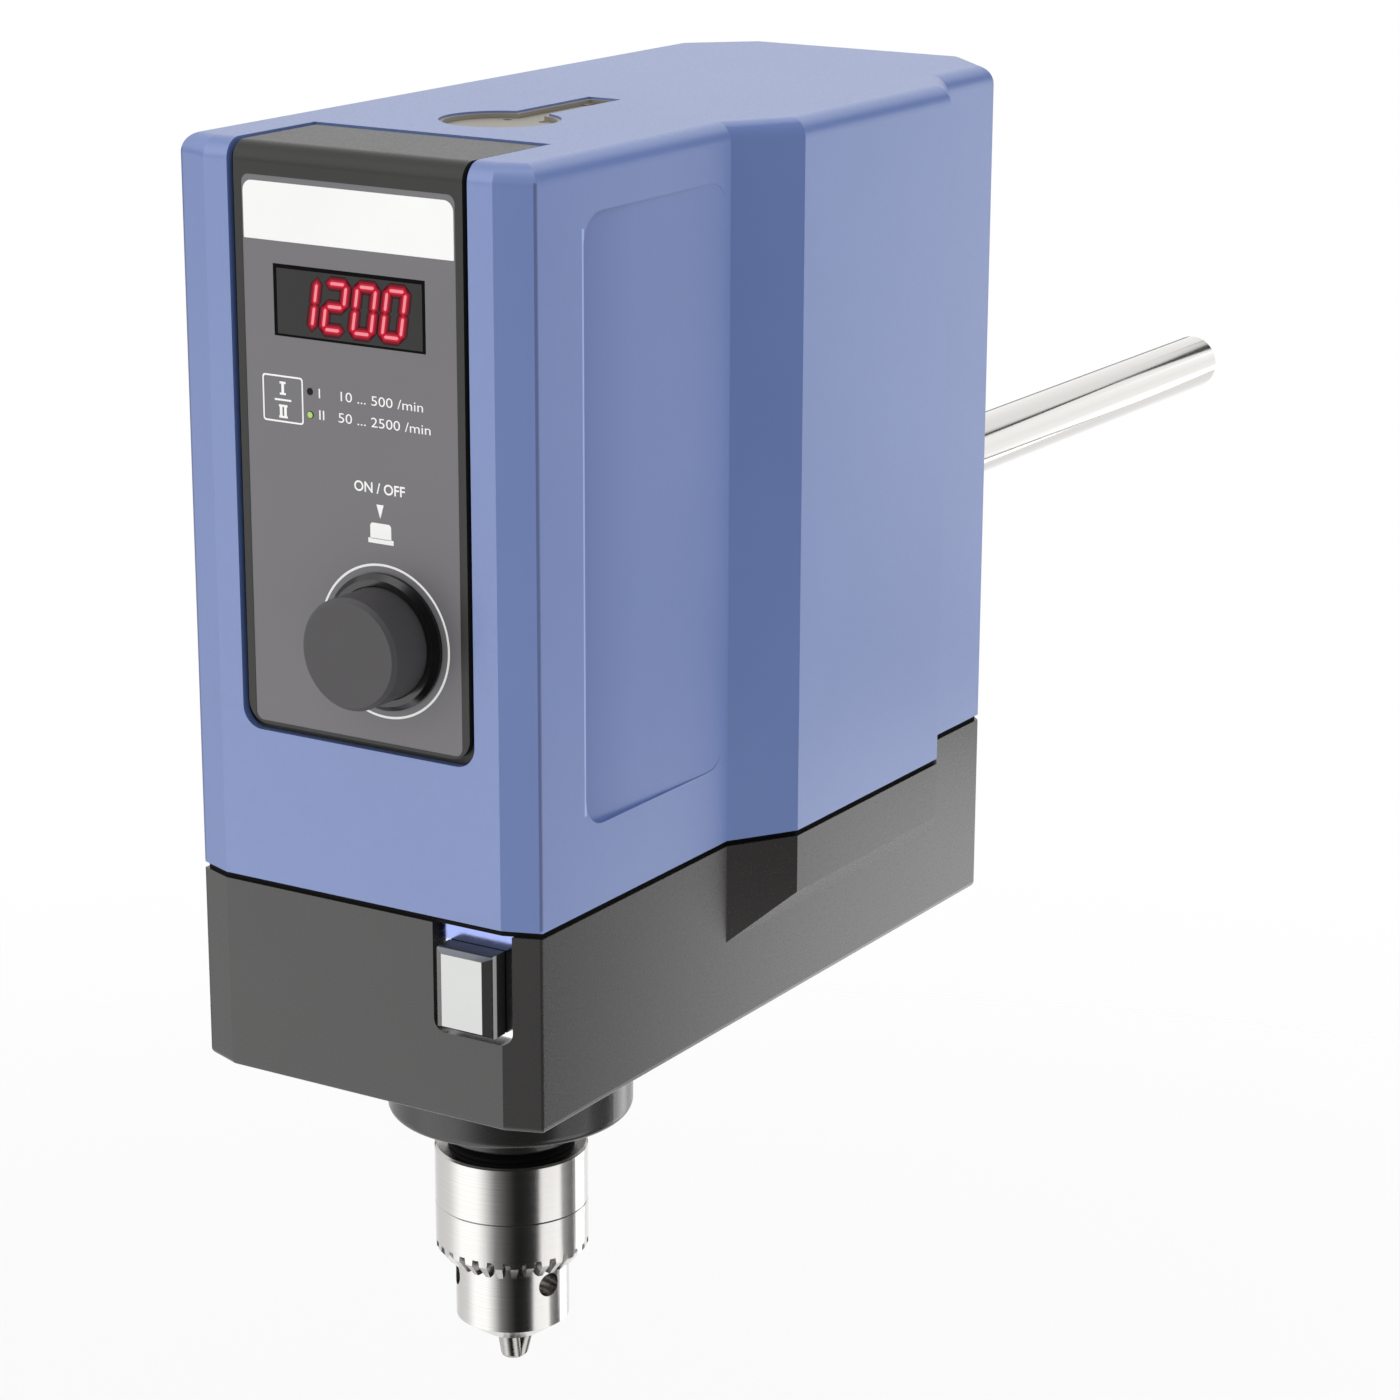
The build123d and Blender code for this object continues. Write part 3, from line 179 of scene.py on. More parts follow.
# A long black flag behind the object draws a thin dark line along polished bar.
flag_left, flag_right, flag_y, flag_low, flag_high = -0.26, 1.94, 2.47, 0.83, 1.21
flag_mesh = bpy.data.meshes.new("dark_flag")
flag_mesh.from_pydata([(flag_left, flag_y, flag_low), (flag_right, flag_y, flag_low),
                       (flag_right, flag_y, flag_high), (flag_left, flag_y, flag_high)], [], [(0, 1, 2, 3)])
flag = bpy.data.objects.new("dark_flag", flag_mesh)
for kind in ("camera", "diffuse", "shadow", "transmission"):
    setattr(flag, "visible_" + kind, False)
scene.collection.objects.link(flag)
flag_cloth = bpy.data.materials.new("black_flag_cloth")
tree = bare_tree(flag_cloth)
dull = add_node(tree, "ShaderNodeBsdfDiffuse", {"Color": (0.06, 0.06, 0.06, 1)})
add_node(tree, "ShaderNodeOutputMaterial", {"Surface": dull.outputs[0]})
flag_mesh.materials.append(flag_cloth)

# The floor is a pale disc that fades into the white studio.
floor_place, floor_radius, fade_start, fade_end = (0, 0.05, -0.30), 2.4, 0.55, 1.4
floor_mesh = bpy.data.meshes.new("floor")
shape = bmesh.new()
bmesh.ops.create_circle(shape, cap_ends=True, segments=96, radius=floor_radius)
shape.to_mesh(floor_mesh)
shape.free()
floor_mesh.transform(Matrix.Translation(floor_place))
floor = bpy.data.objects.new("floor", floor_mesh)
floor.visible_glossy = False
scene.collection.objects.link(floor)
pale = bpy.data.materials.new("pale_floor")
tree = bare_tree(pale)
spot = add_node(tree, "ShaderNodeTexCoord").outputs["Object"]
length = add_node(tree, "ShaderNodeVectorMath", {0: spot}, operation="LENGTH").outputs["Value"]
fade = spread(tree, length, fade_start, fade_end, interpolation_type="SMOOTHSTEP")
matt = add_node(tree, "ShaderNodeBsdfDiffuse", {"Color": (0.93, 0.93, 0.93, 1)})
clear = add_node(tree, "ShaderNodeBsdfTransparent")
mixed = add_node(tree, "ShaderNodeMixShader", {0: fade, 1: matt.outputs[0], 2: clear.outputs[0]})
add_node(tree, "ShaderNodeOutputMaterial", {"Surface": mixed.outputs[0]})
floor_mesh.materials.append(pale)


# ---- Hood ------------------------------------------------------------------------------------------
# One moulded shell in structural foam with a coat of blue textured paint, whose fine grain keeps
# highlights broad and soft. Tints paint shade as a dark line along the front corners, paint the shade in
# the front of each side recess and paint a highlight on the recess's lip.
def new_finish(name, colour, **sockets):
    """A material with one Principled shader."""
    finish = bpy.data.materials.new(name)
    finish.use_nodes = True
    shader = finish.node_tree.nodes["Principled BSDF"]
    shader.inputs["Base Color"].default_value = linear(colour)
    for key, value in sockets.items():
        shader.inputs[key.replace("_", " ")].default_value = value
    return finish


def feed(finish, **sources):
    """Links outputs to the finish's shader: Base_Color, Roughness, Metallic or Normal."""
    tree = finish.node_tree
    for key, source in sources.items():
        tree.links.new(source, tree.nodes["Principled BSDF"].inputs[key.replace("_", " ")])


def linked_to(finish, socket):
    """The output that a socket of the finish's shader is linked to."""
    return finish.node_tree.nodes["Principled BSDF"].inputs[socket].links[0].from_socket


def object_place(tree):
    """A point of the piece in its own frame."""
    return add_node(tree, "ShaderNodeTexCoord").outputs["Object"]


def object_axes(tree):
    """The X, Y and Z of a point of the piece."""
    return add_node(tree, "ShaderNodeSeparateXYZ", {0: object_place(tree)}).outputs


def speckled(name, colour, grain_mm, bump_mm, colours, rough, **sockets):
    """A finish with faint blotches in its colour and a grain in its gloss and surface, at real sizes."""
    blotch_mm = 60.0
    finish = new_finish(name, colour, **sockets)
    tree = finish.node_tree
    place = object_place(tree)
    blotch = add_node(tree, "ShaderNodeTexNoise", {"Vector": place, "Scale": 1 / (blotch_mm * mm),
                                                   "Detail": 3.0, "Roughness": 0.55}).outputs["Fac"]
    grain = add_node(tree, "ShaderNodeTexNoise", {"Vector": place, "Scale": 1 / (grain_mm * mm),
                                                  "Detail": 2.0, "Roughness": 0.6}).outputs["Fac"]
    bump = add_node(tree, "ShaderNodeBump", {"Height": grain, "Distance": bump_mm * mm, "Strength": 1.0})
    feed(finish, Base_Color=ramp(tree, blotch, [(0.3, linear(colours[0])), (0.7, linear(colours[1]))]),
            Roughness=spread(tree, grain, 0.3, 0.7, *rough), Normal=bump.outputs["Normal"])
    return finish


def overlay(finish, factor, colour):
    """Lays a colour over the finish's own where factor is 1."""
    tree = finish.node_tree
    mix = add_node(tree, "ShaderNodeMix", {"Factor": factor, "B": linear(colour)}, data_type="RGBA")
    tree.links.new(linked_to(finish, "Base Color"), mix.inputs["A"])
    feed(finish, Base_Color=mix.outputs["Result"])


def tint_box(finish, x, y, z, colour, mirrored=True, fading=False):
    """Recolours what lies in a box, given in mm, on both sides of the body or on the right alone.
    Where it is fading, it fades to nothing toward the box's rear."""
    tree = finish.node_tree
    axes = object_axes(tree)
    across = reckon(tree, "ABSOLUTE", axes["X"]) if mirrored else axes["X"]
    factor = 1.0
    for value, (low, high) in ((across, x), (axes["Y"], y), (axes["Z"], z)):
        within = reckon(tree, "COMPARE", value, (low + high) / 2 * mm, (high - low) / 2 * mm)
        factor = reckon(tree, "MULTIPLY", factor, within)
    if fading:
        factor = reckon(tree, "MULTIPLY", factor, spread(tree, axes["Y"], y[0] * mm, y[1] * mm, 1.0, 0.0))
    overlay(finish, factor, colour)


def dress(finish, *names):
    """Gives CAD nodes their finish."""
    for name in names:
        data = nodes[name].data
        data.materials.clear()
        data.materials.append(finish)


front_corner_x, front_corner_y = (46.9, 48.0), (-55.85, -55.1)
blue_paint = speckled("blue_textured_paint", "#5b73ae", 0.8, 0.012, ("#5971ac", "#5d75b0"), (0.30, 0.38),
                      IOR=2.0)
# Painted shade: a dark blue line down each front corner.
tint_box(blue_paint, front_corner_x, front_corner_y, (137.0, 303.0), "#3c4f86")
# Painted shade in the front of each side recess, fading toward its rear.
tint_box(blue_paint, (45.6, 46.8), (-37.7, -16.0), (156.0, 294.0), "#4d63a2", fading=True)
# Painted highlight: a light line on each side recess's lip.
tint_box(blue_paint, (46.3, 48.0), (-38.3, -37.5), (159.0, 291.0), "#8ea2da")
dress(blue_paint, "hood")

# ---- Gear housing ----------------------------------------------------------------------------------
# Die-cast base in dark warm grey satin paint, closed below by the bearing flange. A black rubber cord
# lies in the seam under the hood.
grey_paint = speckled("dark_grey_satin_paint", "#2a2827", 0.7, 0.0025, ("#282625", "#2c2a29"), (0.24, 0.28),
                      IOR=1.6)
# Painted shade: a near-black line down each front corner of the base.
tint_box(grey_paint, front_corner_x, front_corner_y, (89.0, 136.0), "#0d0c0c")
dress(grey_paint, "gear_housing")
seam_rubber = speckled("black_seam_rubber", "#050506", 0.5, 0.02, ("#040405", "#070708"), (0.7, 0.85),
                       IOR=1.3)
dress(seam_rubber, "seam_gasket")

# ---- Control panel ---------------------------------------------------------------------------------
# A moulded ABS panel that runs up the front and bends over on to the top, with a black frame round it
# at the bottom of a narrow slot. A printed polyester film is laid in its shallow pocket.
panel_abs = speckled("green_grey_abs", "#20211e", 0.6, 0.005, ("#1e1f1c", "#222320"), (0.33, 0.42), IOR=1.45)
dress(panel_abs, "control_panel")
surround_abs = speckled("black_surround_abs", "#0c0c0e", 0.6, 0.006, ("#0a0a0c", "#0f0f11"), (0.4, 0.5))
dress(surround_abs, "panel_surround")
film = speckled("grey_printed_film", "#6b696c", 0.35, 0.004, ("#69676a", "#6e6c6f"), (0.36, 0.44), IOR=1.5)
dress(film, "panel_foil")

# ---- Print on the film -----------------------------------------------------------------------------
# Screen-printed white ink: a bare band for a name, the range box with I over II, the two speed ranges,
# the push sign and the ring round the knob. The ink stands a few hundredths of a millimetre proud.
white_ink = speckled("white_screen_ink", "#f4f4f2", 0.3, 0.003, ("#f2f2f0", "#f8f8f7"), (0.45, 0.55))
film_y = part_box("panel_foil")[0][1]
ink_lift = 0.04


def keep_piece(name, data, body):
    """A finished mesh as a piece with its slot, on its body."""
    piece = bpy.data.objects.new(name, data)
    scene.collection.objects.link(piece)
    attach(piece, body)
    return piece


def keep_print(name, shape, facing, finish, body):
    """Turns the shape's faces to the front, -1, or to the rear, 1, and keeps it as a piece."""
    for face in shape.faces:
        face.normal_update()
        if face.normal.y * facing < 0:
            face.normal_flip()
    data = bpy.data.meshes.new(name)
    shape.to_mesh(data)
    shape.free()
    data.materials.append(finish)
    keep_piece(name, data, body)


def faces_shape(faces):
    """Faces from lists of points in metres, joined where they meet."""
    shape = bmesh.new()
    for face in faces:
        shape.faces.new([shape.verts.new(point) for point in face])
    bmesh.ops.remove_doubles(shape, verts=shape.verts, dist=1e-7)
    return shape


def flat_print(name, faces, finish, lift=ink_lift):
    """Flat shapes in front of the film. Each face is a list of (x, z) in mm, clockwise or not."""
    ink_y = film_y - lift * mm
    shape = faces_shape([[(x * mm, ink_y, z * mm) for x, z in face] for face in faces])
    keep_print(name, shape, -1, finish, "housing")


def arc(x, z, radius, start, end, steps):
    """Points on an arc, angles in degrees."""
    angles = [math.radians(start + (end - start) * i / steps) for i in range(steps + 1)]
    return [(x + radius * math.cos(angle), z + radius * math.sin(angle)) for angle in angles]


def circle(x, z, radius, steps):
    """Points round a circle."""
    return arc(x, z, radius, 0, 360, steps)[:-1]


def round_rect(x0, x1, z0, z1, low, high, steps=6):
    """A rectangle's outline with its lower and upper corners rounded."""
    return (arc(x0 + low, z0 + low, low, 180, 270, steps) + arc(x1 - low, z0 + low, low, 270, 360, steps)
            + arc(x1 - high, z1 - high, high, 0, 90, steps) + arc(x0 + high, z1 - high, high, 90, 180, steps))


def band(outer, inner):
    """Quads between two closed outlines with the same number of points."""
    count = len(outer)
    return [[outer[i], outer[(i + 1) % count], inner[(i + 1) % count], inner[i]] for i in range(count)]


def letters(name, text, x, z, size, align="CENTER", stretch=1.0, weight=0.0):
    """A line of print, made a mesh before it is placed. x, z is its middle or left end, on its baseline."""
    curve = bpy.data.curves.new(name, "FONT")
    curve.body = text
    curve.size = size * mm
    curve.align_x = align
    curve.offset = weight * mm
    curve.resolution_u = 4
    writer = bpy.data.objects.new(name, curve)
    scene.collection.objects.link(writer)
    bpy.context.view_layer.update()
    data = bpy.data.meshes.new_from_object(writer.evaluated_get(bpy.context.evaluated_depsgraph_get()))
    bpy.data.objects.remove(writer)
    data.transform(Matrix(((stretch, 0, 0, x * mm), (0, 0, 1, film_y - ink_lift * mm), (0, 1, 0, z * mm),
                           (0, 0, 0, 1))))
    shape = bmesh.new()
    shape.from_mesh(data)
    bpy.data.meshes.remove(data)
    keep_print(name, shape, -1, white_ink, "housing")


def numeral(x, z, height, serif):
    """A serifed I as one outline in (x, z). x is its middle, z its foot."""
    stem, thick = 0.38, 0.5
    half = [(serif, 0), (serif, thick), (stem, thick), (stem, height - thick), (serif, height - thick),
            (serif, height)]
    return [(x + px, z + pz) for px, pz in half] + [(x - px, z + pz) for px, pz in reversed(half)]


knob_x, knob_z = 7.9, 198.4
flat_print("name_band", [round_rect(-28.2, 28.2, 285.2, 298.0, 0.2, 2.4)], white_ink)
flat_print("range_box", band(round_rect(-24.2, -13.0, 244.8, 255.4, 0.8, 0.8),
                             round_rect(-23.8, -13.4, 245.2, 255.0, 0.5, 0.5)), white_ink)
flat_print("knob_ring", band(circle(knob_x, knob_z, 17.7, 96), circle(knob_x, knob_z, 17.15, 96)),
           white_ink)
range_x, numeral_height = -18.6, 3.0
one_z, one_serif = 251.0, 0.85
two_z, two_serif, two_step = 245.8, 0.6, 0.6
bar_left, bar_right, bar_low, bar_high = -20.9, -16.3, 249.65, 250.1
flat_print("range_numerals", [numeral(range_x, one_z, numeral_height, one_serif),
                              numeral(range_x - two_step, two_z, numeral_height, two_serif),
                              numeral(range_x + two_step, two_z, numeral_height, two_serif),
                              [(bar_left, bar_low), (bar_right, bar_low), (bar_right, bar_high),
                               (bar_left, bar_high)]], white_ink, lift=0.05)
speeds_x, speeds_size, speeds_stretch = -9.0, 3.1, 1.3
letters("slow_speeds", "I    10 ... 500 /min", speeds_x, 251.4, speeds_size, "LEFT", speeds_stretch)
letters("fast_speeds", "II   50 ... 2500 /min", speeds_x, 246.6, speeds_size, "LEFT", speeds_stretch)
letters("on_off", "ON / OFF", 7.3, 231.9, 3.3, weight=0.06)
flat_print("push_arrow", [[(6.4, 229.4), (8.4, 229.4), (7.4, 226.2)]], white_ink)
flat_print("push_button_sign", [round_rect(4.6, 10.3, 221.6, 225.2, 0.2, 0.8),
                                round_rect(4.0, 10.9, 220.6, 221.7, 0.1, 0.1)], white_ink)

# ---- Display ---------------------------------------------------------------------------------------
# A tinted acrylic window over a four-digit red LED module; a black band round the window's edge is
# painted shade standing in for the gap to the film. Each lit segment has a pale core, and a red glow that
# spreads in the tint. Two lamps with clear lenses stand below it.
tint = speckled("smoked_acrylic", "#181716", 4.0, 0.001, ("#161514", "#1a1918"), (0.14, 0.2), IOR=1.36)
dress(tint, "display_window")


def lit(name, colour, dark="#100304"):
    """A lit surface that shows its colour as written."""
    finish = new_finish(name, dark, Roughness=0.6, IOR=1.2, Emission_Strength=1.0)
    finish.node_tree.nodes["Principled BSDF"].inputs["Emission Color"].default_value = linear(colour)
    return finish


window_low, window_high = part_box("display_window")
window_lift = (film_y - window_low[1]) / mm
digit_height, digit_width, digit_lean = 10.3, 4.9, 0.16
first_digit_x, digit_z, digit_pitch = -15.0, 266.9, 7.95
shown = "1200"
bars = {"0": "abcdef", "1": "bc", "2": "abged"}


def segment(name, x, z, width, gap):
    """One lit bar of a digit at (x, z), its lower left corner: a long hexagon that leans with the digit."""
    middle = digit_height / 2
    corners = {"a": (0, 2, 1, 2), "b": (1, 1, 1, 2), "c": (1, 0, 1, 1), "d": (0, 0, 1, 0),
               "e": (0, 0, 0, 1), "f": (0, 1, 0, 2), "g": (0, 1, 1, 1)}[name]
    x0, z0, x1, z1 = (place * size for place, size in zip(corners, (digit_width, middle) * 2))
    length = math.hypot(x1 - x0, z1 - z0)
    ux, uz = (x1 - x0) / length, (z1 - z0) / length
    half = width / 2
    outline = [(gap, 0), (gap + half, half), (length - gap - half, half), (length - gap, 0),
               (length - gap - half, -half), (gap + half, -half)]
    points = []
    for along, across in outline:
        px, pz = x0 + ux * along - uz * across, z0 + uz * along + ux * across
        points.append((x + px + digit_lean * pz, z + pz))
    return points


# From the faint tint far out to the pale core: name, width, gap at the bar's ends, colour.
layers = (("digit_tint", 3.4, -1.2, "#40151b"), ("digit_halo", 2.5, -0.8, "#7c1526"),
          ("digit_glow", 1.6, -0.2, "#c41a33"), ("digit_cores", 0.72, 0.5, "#f4909c"))
for rank, (name, width, gap, colour) in enumerate(layers, 1):
    faces = [segment(bar, first_digit_x + index * digit_pitch, digit_z, width, gap)
             for index, digit in enumerate(shown) for bar in bars[digit]]
    flat_print(name, faces, lit(name.replace("digit", "led"), colour),
               lift=window_lift + 0.02 * rank)
# The black band round the window's edge is painted shade for the gap between window and film.
gap_shade_black = speckled("black_window_gap_shade", "#050505", 0.5, 0.002, ("#040404", "#070707"), (0.7, 0.9),
                      IOR=1.2)
left_x, low_z, right_x, high_z = (end[k] / mm for end in (window_low, window_high) for k in (0, 2))
border_outline = round_rect(left_x + 0.05, right_x - 0.05, low_z + 0.05, high_z - 0.05, 0.1, 0.1)
border_opening = round_rect(left_x + 0.8, right_x - 0.8, low_z + 0.5, high_z - 0.9, 0.1, 0.1)
flat_print("window_gap_shade", band(border_outline, border_opening),
           gap_shade_black, lift=window_lift + 0.1)
module_black = speckled("black_display_case", "#151516", 0.5, 0.01, ("#131314", "#1a1a1b"), (0.4, 0.5))
dress(module_black, "display_module")
lamp_lens = speckled("clear_lamp_lens", "#060607", 0.5, 0.002, ("#050506", "#080809"), (0.3, 0.4), IOR=1.25)
dress(lamp_lens, "range_lamps")
lamp_x, lamp_z, lit_radius = -11.1, 247.4, 0.7
flat_print("green_lamp", [circle(lamp_x, lamp_z, lit_radius, 24)],
           lit("lit_green_lamp", "#b4d878", "#0a1004"), lift=0.2)

# ---- Speed knob ------------------------------------------------------------------------------------
# A moulded cap with a soft-feel coat in dark grey, pressed on the encoder's shaft. A glossy black bezel
# stands behind it on the panel.
soft_grey = speckled("soft_touch_grey", "#454345", 0.4, 0.006, ("#434143", "#474547"), (0.5, 0.6), IOR=1.5)
dress(soft_grey, "speed_knob")
gloss_black = speckled("gloss_black_abs", "#0e0e0f", 0.5, 0.002, ("#0c0c0d", "#111112"), (0.14, 0.2),
                       IOR=1.6)
dress(gloss_black, "knob_collar")

# ---- Range selector --------------------------------------------------------------------------------
# A moulded black block with a chromed front, which slides up and down in front of a bright pressed plate.
# Tints paint a highlight along the block's side behind the chrome, and paint the hood's blue reflection on
# the plate's upper end.
block_low, block_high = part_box("selector_block")
chrome_end = block_low[1] + 1.5 * mm
side_x, front_y = block_high[0] / mm, block_low[1] / mm
block_finish = speckled("chromed_front_black_body", "#aeafad", 3.0, 0.003, ("#abacab", "#b1b2b1"),
                        (0.10, 0.14))
tree = block_finish.node_tree
behind = spread(tree, object_axes(tree)["Y"], chrome_end, chrome_end + 0.1 * mm)
overlay(block_finish, behind, "#1a1c1b")
feed(block_finish, Metallic=reckon(tree, "SUBTRACT", 1.0, behind),
        Roughness=reckon(tree, "MULTIPLY_ADD", behind, 0.35, linked_to(block_finish, "Roughness")))
# Painted highlight: a light strip on the block's right side just behind the chrome.
tint_box(block_finish, (side_x - 0.15, side_x + 1.0), (front_y + 1.55, front_y + 3.0),
         (block_low[2] / mm, block_high[2] / mm), "#a9aaa8", mirrored=False)
dress(block_finish, "selector_block")
plate_steel = speckled("bright_pressed_plate", "#dcdddd", 3.0, 0.004, ("#d6d7d8", "#e2e2e2"), (0.12, 0.2),
                       Metallic=1.0)
# Painted reflection: the hood's blue on the plate above the block.
blue_start, blue_full = 130.2 * mm, 131.0 * mm
tree = plate_steel.node_tree
overlay(plate_steel, spread(tree, object_axes(tree)["Z"], blue_start, blue_full), "#8c98cc")
dress(plate_steel, "selector_plate")

# ---- Bearing flange and neck -----------------------------------------------------------------------
# Turned flange and, a step narrower, the neck, both in black satin paint. A rubber lip below them keeps
# spray off the bearing.
black_paint = speckled("black_satin_paint", "#242322", 0.6, 0.003, ("#222120", "#262524"), (0.22, 0.28),
                       IOR=1.6)
dress(black_paint, "bearing_flange", "bearing_neck")
dress(seam_rubber, "spindle_seal")


# ---- Chuck -----------------------------------------------------------------------------------------
# Case-hardened steel, ground and nickel plated. The fine rings left by grinding run round the sleeve and
# the nose, so that reflections smear along the axis.
def ground_steel(name, dark, light, rough, ring_mm, bump_mm):
    """Metal with fine rings round Z."""
    finish = new_finish(name, light, Metallic=1.0)
    tree = finish.node_tree
    squeezed = add_node(tree, "ShaderNodeMapping", {"Vector": object_place(tree),
                                                    "Scale": (6.0, 6.0, 1 / (ring_mm * mm))})
    rings = add_node(tree, "ShaderNodeTexNoise", {"Vector": squeezed.outputs[0], "Scale": 1.0,
                                                  "Detail": 3.0}).outputs["Fac"]
    bump = add_node(tree, "ShaderNodeBump", {"Height": rings, "Distance": bump_mm * mm})
    feed(finish, Base_Color=ramp(tree, rings, [(0.3, linear(dark)), (0.7, linear(light))]),
            Roughness=spread(tree, rings, 0.3, 0.7, *rough), Normal=bump.outputs["Normal"])
    return finish


chuck_steel = ground_steel("ground_plated_steel", "#c6c4c1", "#d4d2d0", (0.16, 0.24), 0.35, 0.002)
dress(chuck_steel, "chuck_body", "chuck_sleeve")
jaw_steel = ground_steel("hardened_jaw_steel", "#a8a6a3", "#bdbbb8", (0.22, 0.32), 0.5, 0.003)
dress(jaw_steel, "chuck_jaw_1", "chuck_jaw_2", "chuck_jaw_3", "split_nut")

# ---- Support rod -----------------------------------------------------------------------------------
# Drawn and polished stainless bar, with faint lines along its length. A zinc-plated nut locks it at the
# rear cover.
rod_steel = new_finish("polished_stainless", "#d5d3d0", Metallic=1.0)
tree = rod_steel.node_tree
drawn = add_node(tree, "ShaderNodeMapping", {"Vector": object_place(tree), "Scale": (2500.0, 12.0, 2500.0)})
lines = add_node(tree, "ShaderNodeTexNoise", {"Vector": drawn.outputs[0], "Scale": 1.0, "Detail": 2.0})
feed(rod_steel, Roughness=spread(tree, lines.outputs["Fac"], 0.3, 0.7, 0.07, 0.13))
dress(rod_steel, "support_rod")
zinc = speckled("bright_zinc_plate", "#b9bcbf", 0.8, 0.01, ("#b0b3b7", "#c4c6c8"), (0.28, 0.4), Metallic=1.0)
dress(zinc, "rod_nut", "plate_screws", "cap_pin", "cover_screws", "case_screws")

# ---- Rear cover ------------------------------------------------------------------------------------
# Screwed steel plate in the base's grey, with louvre slots, a three-blade inlet and a rocker switch. The
# rocker's marks are printed on its two slopes.
dress(grey_paint, "rear_cover")
black_nylon = speckled("black_nylon", "#1c1c1d", 0.5, 0.012, ("#19191a", "#222223"), (0.42, 0.55))
dress(black_nylon, "power_inlet", "switch_frame", "power_rocker", "encoder_body")
nickel = speckled("nickel_plated_brass", "#c8c2b4", 0.8, 0.006, ("#c0baac", "#d0cabc"), (0.2, 0.3),
                  Metallic=1.0)
dress(nickel, "inlet_contacts")
switch_x, on_low, on_high, off_z, mark_half = 16.5, 162.6, 165.8, 155.9, 0.35


def laid_on(name, faces, node, finish, body):
    """Marks given as (x, z) outlines in mm, laid on a node's rear face as it slopes."""
    carrier = nodes[node].data
    skin = BVHTree.FromPolygons([v.co for v in carrier.vertices], [p.vertices for p in carrier.polygons])
    laid = []
    for face in faces:
        hits = [skin.ray_cast(Vector((x * mm, 1.0, z * mm)), Vector((0, -1, 0))) for x, z in face]
        laid.append([place + normal * ink_lift * mm for place, normal, *_ in hits])
    keep_print(name, faces_shape(laid), 1, finish, body)


laid_on("rocker_on_mark", [[(switch_x - mark_half, on_low), (switch_x + mark_half, on_low),
                            (switch_x + mark_half, on_high), (switch_x - mark_half, on_high)]],
        "power_rocker", white_ink, "rocker")
laid_on("rocker_off_mark", band(circle(switch_x, off_z, 1.7, 32), circle(switch_x, off_z, 1.1, 32)),
        "power_rocker", white_ink, "rocker")


# ---- Case and cover screws -------------------------------------------------------------------------
# Zinc-plated pan-head machine screws with a cross recess: four hold the rear cover, and four come up from
# below through the base into the hood. Each set stands at the corners of a rectangle.
def add_group_inputs(group, names):
    """Named inputs for a node group, and its Geometry output."""
    for name, kind in names:
        group.interface.new_socket(name, in_out="INPUT", socket_type="NodeSocket" + kind)
    group.interface.new_socket("Geometry", in_out="OUTPUT", socket_type="NodeSocketGeometry")


screw_tree = bpy.data.node_groups.new("screws_at_corners", "GeometryNodeTree")
add_group_inputs(screw_tree, [("Across", "Float"), ("Along", "Float"), ("Head Radius", "Float"),
                              ("Head Height", "Float"), ("Shank Radius", "Float"), ("Shank Length", "Float"),
                              ("Turn", "Vector"), ("Place", "Vector"), ("Finish", "Material")])
given = add_node(screw_tree, "NodeGroupInput").outputs


def times(name, factor):
    """An input of the screws' tree times a number."""
    return reckon(screw_tree, "MULTIPLY", given[name], factor)


def moved_up(mesh, rise):
    """A mesh moved along its Z."""
    place = add_node(screw_tree, "ShaderNodeCombineXYZ", {"Z": rise}).outputs[0]
    return add_node(screw_tree, "GeometryNodeTransform", {"Geometry": mesh, "Translation": place}).outputs[0]


# Measures of the head as shares of its radius or height.
crown_share, recess_long, recess_wide, recess_deep = 0.78, 1.15, 0.26, 1.3
head = add_node(screw_tree, "GeometryNodeMeshCone", {"Vertices": 40, "Radius Bottom": given["Head Radius"],
                                                     "Radius Top": times("Head Radius", crown_share),
                                                     "Depth": given["Head Height"]})
recessed = add_node(screw_tree, "GeometryNodeMeshBoolean", {"Mesh 1": head.outputs["Mesh"]},
                    operation="DIFFERENCE")
for wide, long in (("X", "Y"), ("Y", "X")):
    size = add_node(screw_tree, "ShaderNodeCombineXYZ", {
        long: times("Head Radius", recess_long), wide: times("Head Radius", recess_wide),
        "Z": times("Head Height", recess_deep)}).outputs[0]
    cut = add_node(screw_tree, "GeometryNodeMeshCube", {"Size": size}).outputs["Mesh"]
    screw_tree.links.new(moved_up(cut, given["Head Height"]), recessed.inputs["Mesh 2"])
shank = add_node(screw_tree, "GeometryNodeMeshCylinder", {"Vertices": 24, "Radius": given["Shank Radius"],
                                                          "Depth": given["Shank Length"]}).outputs["Mesh"]
screw = add_node(screw_tree, "GeometryNodeJoinGeometry", {0: recessed.outputs["Mesh"]})
screw_tree.links.new(moved_up(shank, times("Shank Length", -0.5)), screw.inputs[0])
corners = add_node(screw_tree, "GeometryNodeMeshGrid", {"Size X": given["Across"], "Size Y": given["Along"],
                                                        "Vertices X": 2, "Vertices Y": 2}).outputs["Mesh"]
placed = add_node(screw_tree, "GeometryNodeInstanceOnPoints", {"Points": corners,
                                                               "Instance": screw.outputs[0]})
turned = add_node(screw_tree, "GeometryNodeTransform", {"Geometry": placed.outputs[0],
                                                        "Rotation": given["Turn"],
                                                        "Translation": given["Place"]})
real = add_node(screw_tree, "GeometryNodeRealizeInstances", {0: turned.outputs[0]})
finished = add_node(screw_tree, "GeometryNodeSetMaterial", {"Geometry": real.outputs[0],
                                                            "Material": given["Finish"]})
add_node(screw_tree, "NodeGroupOutput", {0: finished.outputs[0]})


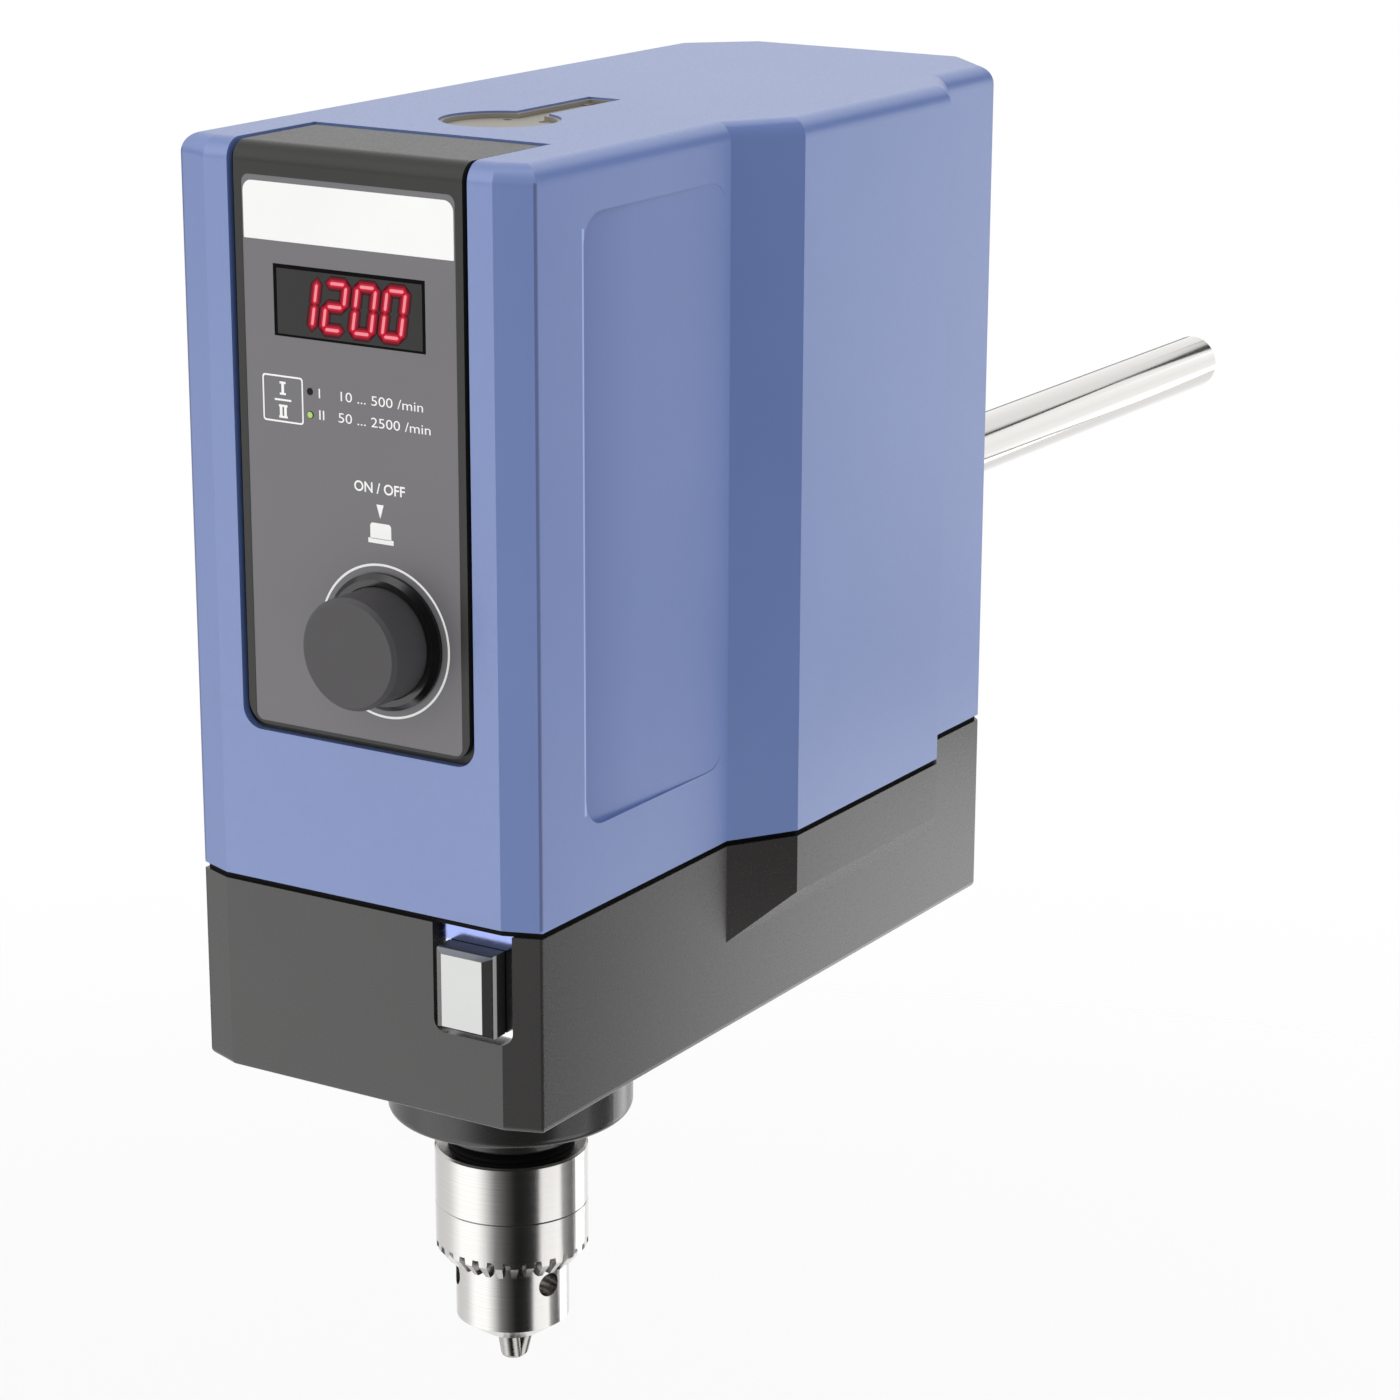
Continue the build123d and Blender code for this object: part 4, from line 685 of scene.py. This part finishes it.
def grown(name, tree, values, body, replaced):
    """Runs a node tree with its inputs set, and keeps the result in place of a CAD node's look."""
    holder = bpy.data.objects.new(name + "_holder", bpy.data.meshes.new(name + "_holder"))
    scene.collection.objects.link(holder)
    growth = holder.modifiers.new("growth", "NODES")
    growth.node_group = tree
    for item in tree.interface.items_tree:
        if item.in_out == "INPUT":
            growth[item.identifier] = values[item.name]
    bpy.context.view_layer.update()
    data = bpy.data.meshes.new_from_object(holder.evaluated_get(bpy.context.evaluated_depsgraph_get()))
    bpy.data.objects.remove(holder)
    data.name = name
    piece = keep_piece(name, data, body)
    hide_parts(replaced)


def screw_set(name, node, head_radius, head_height, shank_radius, axis):
    """Screws at the corners of a CAD group's box. axis is 1 where heads face +Y, 2 where they face -Z."""
    low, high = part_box(node)
    flat = (0, 2) if axis == 1 else (0, 1)
    across, along = (high[k] - low[k] - 2 * head_radius * mm for k in flat)
    middle = [(low[k] + high[k]) / 2 for k in range(3)]
    middle[axis] = high[1] - head_height * mm if axis == 1 else low[2] + head_height * mm
    turn = (-math.pi / 2, 0, 0) if axis == 1 else (math.pi, 0, 0)
    values = {"Across": across, "Along": along, "Head Radius": head_radius * mm,
              "Head Height": head_height * mm, "Shank Radius": shank_radius * mm,
              "Shank Length": high[axis] - low[axis] - head_height * mm,
              "Turn": turn, "Place": middle, "Finish": zinc}
    grown(name, screw_tree, values, "housing", node)


screw_set("rear_cover_screws", "cover_screws", 2.6, 1.6, 1.5, 1)
screw_set("base_case_screws", "case_screws", 2.8, 2.0, 1.5, 2)

# ---- Shaft opening ---------------------------------------------------------------------------------
# A tray let into the top and a flap hinged in it on a pin, both moulded in light warm grey nylon. The flap
# keeps dust out of the hollow spindle.
warm_grey = speckled("warm_grey_nylon", "#8f8a80", 0.5, 0.012, ("#8a857b", "#979288"), (0.42, 0.52))
dress(warm_grey, "opening_insert", "opening_cap")

# ---- Inside ----------------------------------------------------------------------------------------
# Machined alloy plate, tube, boss and fork, hobbed steel gears on ground shafts, the enamelled motor,
# pressed bronze bushes and the green circuit board.
machined = ground_steel("machined_alloy", "#a3a5a8", "#b4b6b8", (0.3, 0.42), 0.8, 0.004)
dress(machined, "gear_plate", "guide_tube", "rod_carrier", "shift_fork")
gear_steel = ground_steel("hobbed_gear_steel", "#7b7d80", "#8e9093", (0.28, 0.4), 0.6, 0.004)
dress(gear_steel, "high_gear", "low_gear", "lay_high_gear", "lay_low_gear", "lay_drive_gear", "motor_pinion",
      "dog_clutch", "clutch_keys", "spindle", "layshaft", "motor_shaft", "spindle_bearings", "motor_bearings",
      "encoder_shaft", "encoder_plunger")
enamel = speckled("dark_motor_enamel", "#4b4e52", 1.2, 0.02, ("#46494d", "#53565a"), (0.4, 0.55))
dress(enamel, "motor_can", "motor_rotor")
bronze = speckled("sintered_bronze", "#a9793f", 0.3, 0.01, ("#9f7038", "#b58547"), (0.35, 0.5), Metallic=1.0)
dress(bronze, "layshaft_bushes")
board_green = speckled("green_solder_resist", "#1f5a3a", 1.5, 0.01, ("#1b5134", "#246343"), (0.3, 0.4))
dress(board_green, "control_board")
